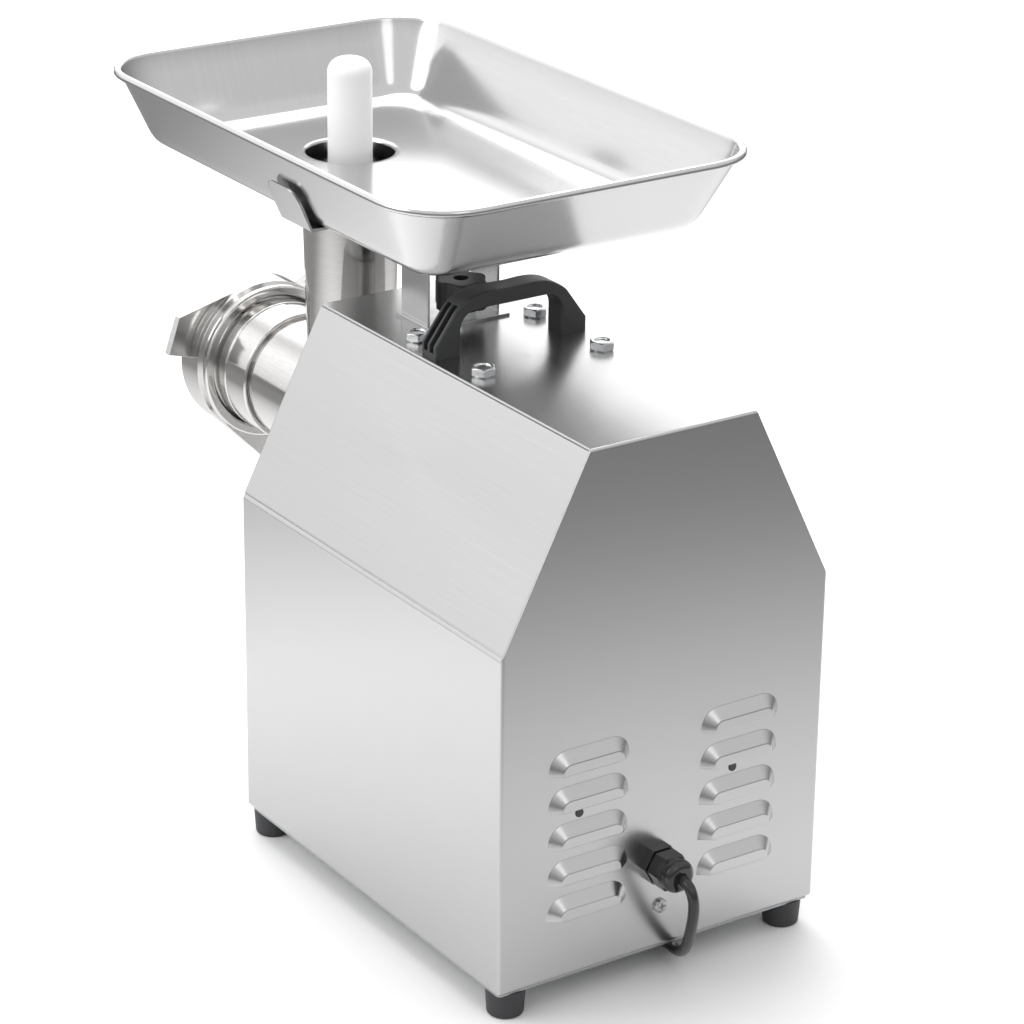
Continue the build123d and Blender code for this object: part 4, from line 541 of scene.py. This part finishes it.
def make_pan():
    """The pan as one closed sheet. Rows run out from the collar over the floor, round the crease, up
    the wall, over the rolled rim, and back down the outside. A wall row's outline lies between the
    floor's and the rim's by its share of the height, moved out by its own offset."""
    sheet = 0.001
    floor_half_width = 0.093
    floor_half_length = 0.1575
    floor_corner = 0.019
    floor_forward = 0.0035
    rim_corner = 0.037
    floor_z = 0.4024
    rim_under = 0.4465
    crease = 0.009
    rise = rim_under - floor_z
    step = np.linspace(0, 1, 8)
    inner_crease = np.stack((-crease * (1 - step) ** 2, floor_z + crease * step**2), 1)
    outer_crease = np.stack(
        (sheet - (crease + sheet) * (1 - step) ** 2, floor_z - sheet + (crease + sheet) * step**2), 1
    )[::-1]
    wall_up = np.stack((np.zeros(5), np.linspace(floor_z + crease + 0.003, rim_under - 0.003, 5)), 1)
    rim_half = 0.0025
    roll = arc((rim_half, rim_under + 0.0009), rim_half, 172, -60, 14)
    tuck = np.array([(sheet + 0.0012, rim_under - 0.0009), (sheet, rim_under - 0.0014)])
    wall_down = np.stack((np.full(5, sheet), wall_up[::-1, 1]), 1)
    profile = np.concatenate((inner_crease, wall_up, roll, tuck, wall_down, outer_crease))
    offset, height = profile[:, :1], profile[:, 1:]
    share = np.clip((height - floor_z) / rise, 0, 1)
    rim_inner = pan_high.x - 2 * rim_half
    rim_long = (pan_high.y - pan_low.y) / 2 - 2 * rim_half
    rim_y = (pan_high.y + pan_low.y) / 2
    outline = rounded_outline(
        floor_half_width + share * (rim_inner - floor_half_width) + offset,
        floor_half_length + share * (rim_long - floor_half_length) + offset,
        floor_corner + share * (rim_corner - floor_corner) + offset,
        rim_y - floor_forward * (1 - share),
    )
    walls = np.concatenate((outline, np.broadcast_to(height[:, :, None], (*outline.shape[:2], 1))), -1)
    first = outline[0]
    angle = np.arctan2(first[:, 1] - hole_y, first[:, 0])
    collar = np.array(
        [
            (0.0296, floor_z - sheet),
            (0.0286, floor_z - sheet),
            (0.0279, floor_z - sheet - 0.0002),
            (0.0276, floor_z - sheet - 0.0006),
            (0.0276, pan_low.z + 0.0001),
            (0.0275, pan_low.z),
            (0.0269, pan_low.z),
            (0.0268, pan_low.z + 0.0001),
            (0.0268, floor_z - 0.0020),
            (0.0270, floor_z - 0.0010),
            (0.0276, floor_z - 0.0003),
            (0.0288, floor_z),
            (0.0310, floor_z),
        ]
    )
    ring = np.stack(
        (
            collar[:, :1] * np.cos(angle),
            hole_y + collar[:, :1] * np.sin(angle),
            np.broadcast_to(collar[:, 1:], (len(collar), len(angle))),
        ),
        -1,
    )
    between = np.linspace(0, 1, 6)[1:-1, None, None]
    floor_rows = ring[-1] + (walls[0] - ring[-1]) * between
    under_rows = walls[-1] + (ring[0] - walls[-1]) * between
    grid = np.concatenate((ring, floor_rows, walls, under_rows))
    faces = ring_faces(grid.shape[0], grid.shape[1], closed=True)
    add_surface("pan", grid, faces, pan_steel, "feed_pan", ["feed_pan"], "pan_steel", crease=radians(50))


def make_pusher():
    """The pusher turned about its own line: an eased disc, a cove, and a round-topped stick."""
    low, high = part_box("pusher")
    stick = 0.0135
    disc = (high.x - low.x) / 2
    disc_top = low.z + 0.014
    ease = 0.0015
    cove = 0.0025
    crown = 0.0088
    profile = np.concatenate(
        (
            [(0.0010, low.z + 0.0006), (0.0180, low.z + 0.0006), (0.0190, low.z)],
            arc((disc - ease, low.z + ease), ease, -90, 0, 5),
            arc((disc - ease, disc_top - ease), ease, 0, 90, 5),
            arc((stick + cove, disc_top + cove), cove, 270, 180, 6),
            arc((stick - crown, high.z - crown), crown, 0, 88, 14),
            [(0.0010, high.z)],
        )
    )
    angle = np.linspace(0, tau, 72, endpoint=False)
    points = np.stack(
        (
            profile[:, :1] * np.cos(angle),
            hole_y + profile[:, :1] * np.sin(angle),
            np.broadcast_to(profile[:, 1:], (len(profile), len(angle))),
        ),
        -1,
    )
    faces = ring_faces(len(profile), len(angle))
    add_surface("pusher_stick", points, faces, pusher_white, "pusher", ["pusher"], "white_plastic")


make_pan()
make_pusher()

# ---- mains lead ------------------------------------------------------------------------
# Black rubber lead, 6.5 mm thick: out of the gland, down to the floor, under the housing and
# into a round coil of the spare length, two layers of turns, with the moulded plug beside it.

cord_radius = 0.00325
coil_centre = (-0.025, -0.118)
coil_start_radius = 0.0425
coil_floor_z = 0.0033
coil_upper_z = 0.0098
plug_place = (-0.056, -0.1605, 0.0098)
lead_route = [
    (0.004, 0.23925, 0.073),
    (0.004, 0.24825, 0.073),
    (0.0034, 0.25375, 0.065),
    (0.002, 0.25225, 0.054),
    (-0.0015, 0.24525, 0.039),
    (-0.007, 0.23525, 0.023),
    (-0.014, 0.21975, 0.0095),
    (-0.021, 0.19725, 0.0033),
    (-0.030, 0.16225, 0.00332),
    (-0.034, 0.11325, 0.0033),
    (-0.025, 0.06025, 0.00332),
    (-0.008, 0.01025, 0.0033),
    (0.009, -0.03575, 0.00332),
    (0.018, -0.07575, 0.0033),
]


def coil_turns():
    """Turns wound inwards on the floor by a diameter each, and back outwards on top of them."""
    points_per_turn = 16
    all_turns = 4.25
    lower_turns = 2.125
    pitch = 2 * cord_radius
    turns = np.arange(0, all_turns + 1e-9, 1 / points_per_turn)
    wound_in = coil_start_radius - pitch * np.minimum(turns, lower_turns)
    wound_out = pitch * np.maximum(turns - lower_turns, 0.0)
    radius = wound_in + wound_out
    angle = -tau * turns
    height = coil_floor_z + (coil_upper_z - coil_floor_z) * np.clip((turns - 1.95) / 0.3, 0, 1)
    return np.stack(
        (coil_centre[0] + radius * np.cos(angle), coil_centre[1] + radius * np.sin(angle), height), 1
    )


def make_lead():
    """The lead's one smooth line, through its route, its coil and to the plug."""
    points = [*lead_route, *coil_turns().tolist(), (-0.040, plug_place[1], coil_upper_z), plug_place]
    curve = bpy.data.curves.new("mains_lead", "CURVE")
    curve.dimensions = "3D"
    curve.bevel_depth = cord_radius
    curve.bevel_resolution = 5
    curve.resolution_u = 8
    curve.use_fill_caps = True
    spline = curve.splines.new("NURBS")
    spline.points.add(len(points) - 1)
    for control, point in zip(spline.points, points):
        control.co = (*point, 1.0)
    spline.order_u = 3
    spline.use_endpoint_u = True
    lead = bpy.data.objects.new("mains_lead", curve)
    bpy.context.scene.collection.objects.link(lead)
    return lead


lead_rubber = moulded_finish(
    "lead_rubber", (0.012, 0.012, 0.012), 0.24, 500.0, 0.15, (0.03, 0.03, 0.03), coat=0.2
)
plug_brass = steel_finish("plug_brass_finish", (0.62, 0.5, 0.26), 0.2, (300.0, 30.0, 300.0), 0.05)
mains_lead = make_lead()
mains_lead.data.materials.append(lead_rubber)
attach(mains_lead, "housing")
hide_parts("power_cord", "cord_coil")
repaint(lead_rubber, "plug_body")
repaint(plug_brass, "plug_pins")
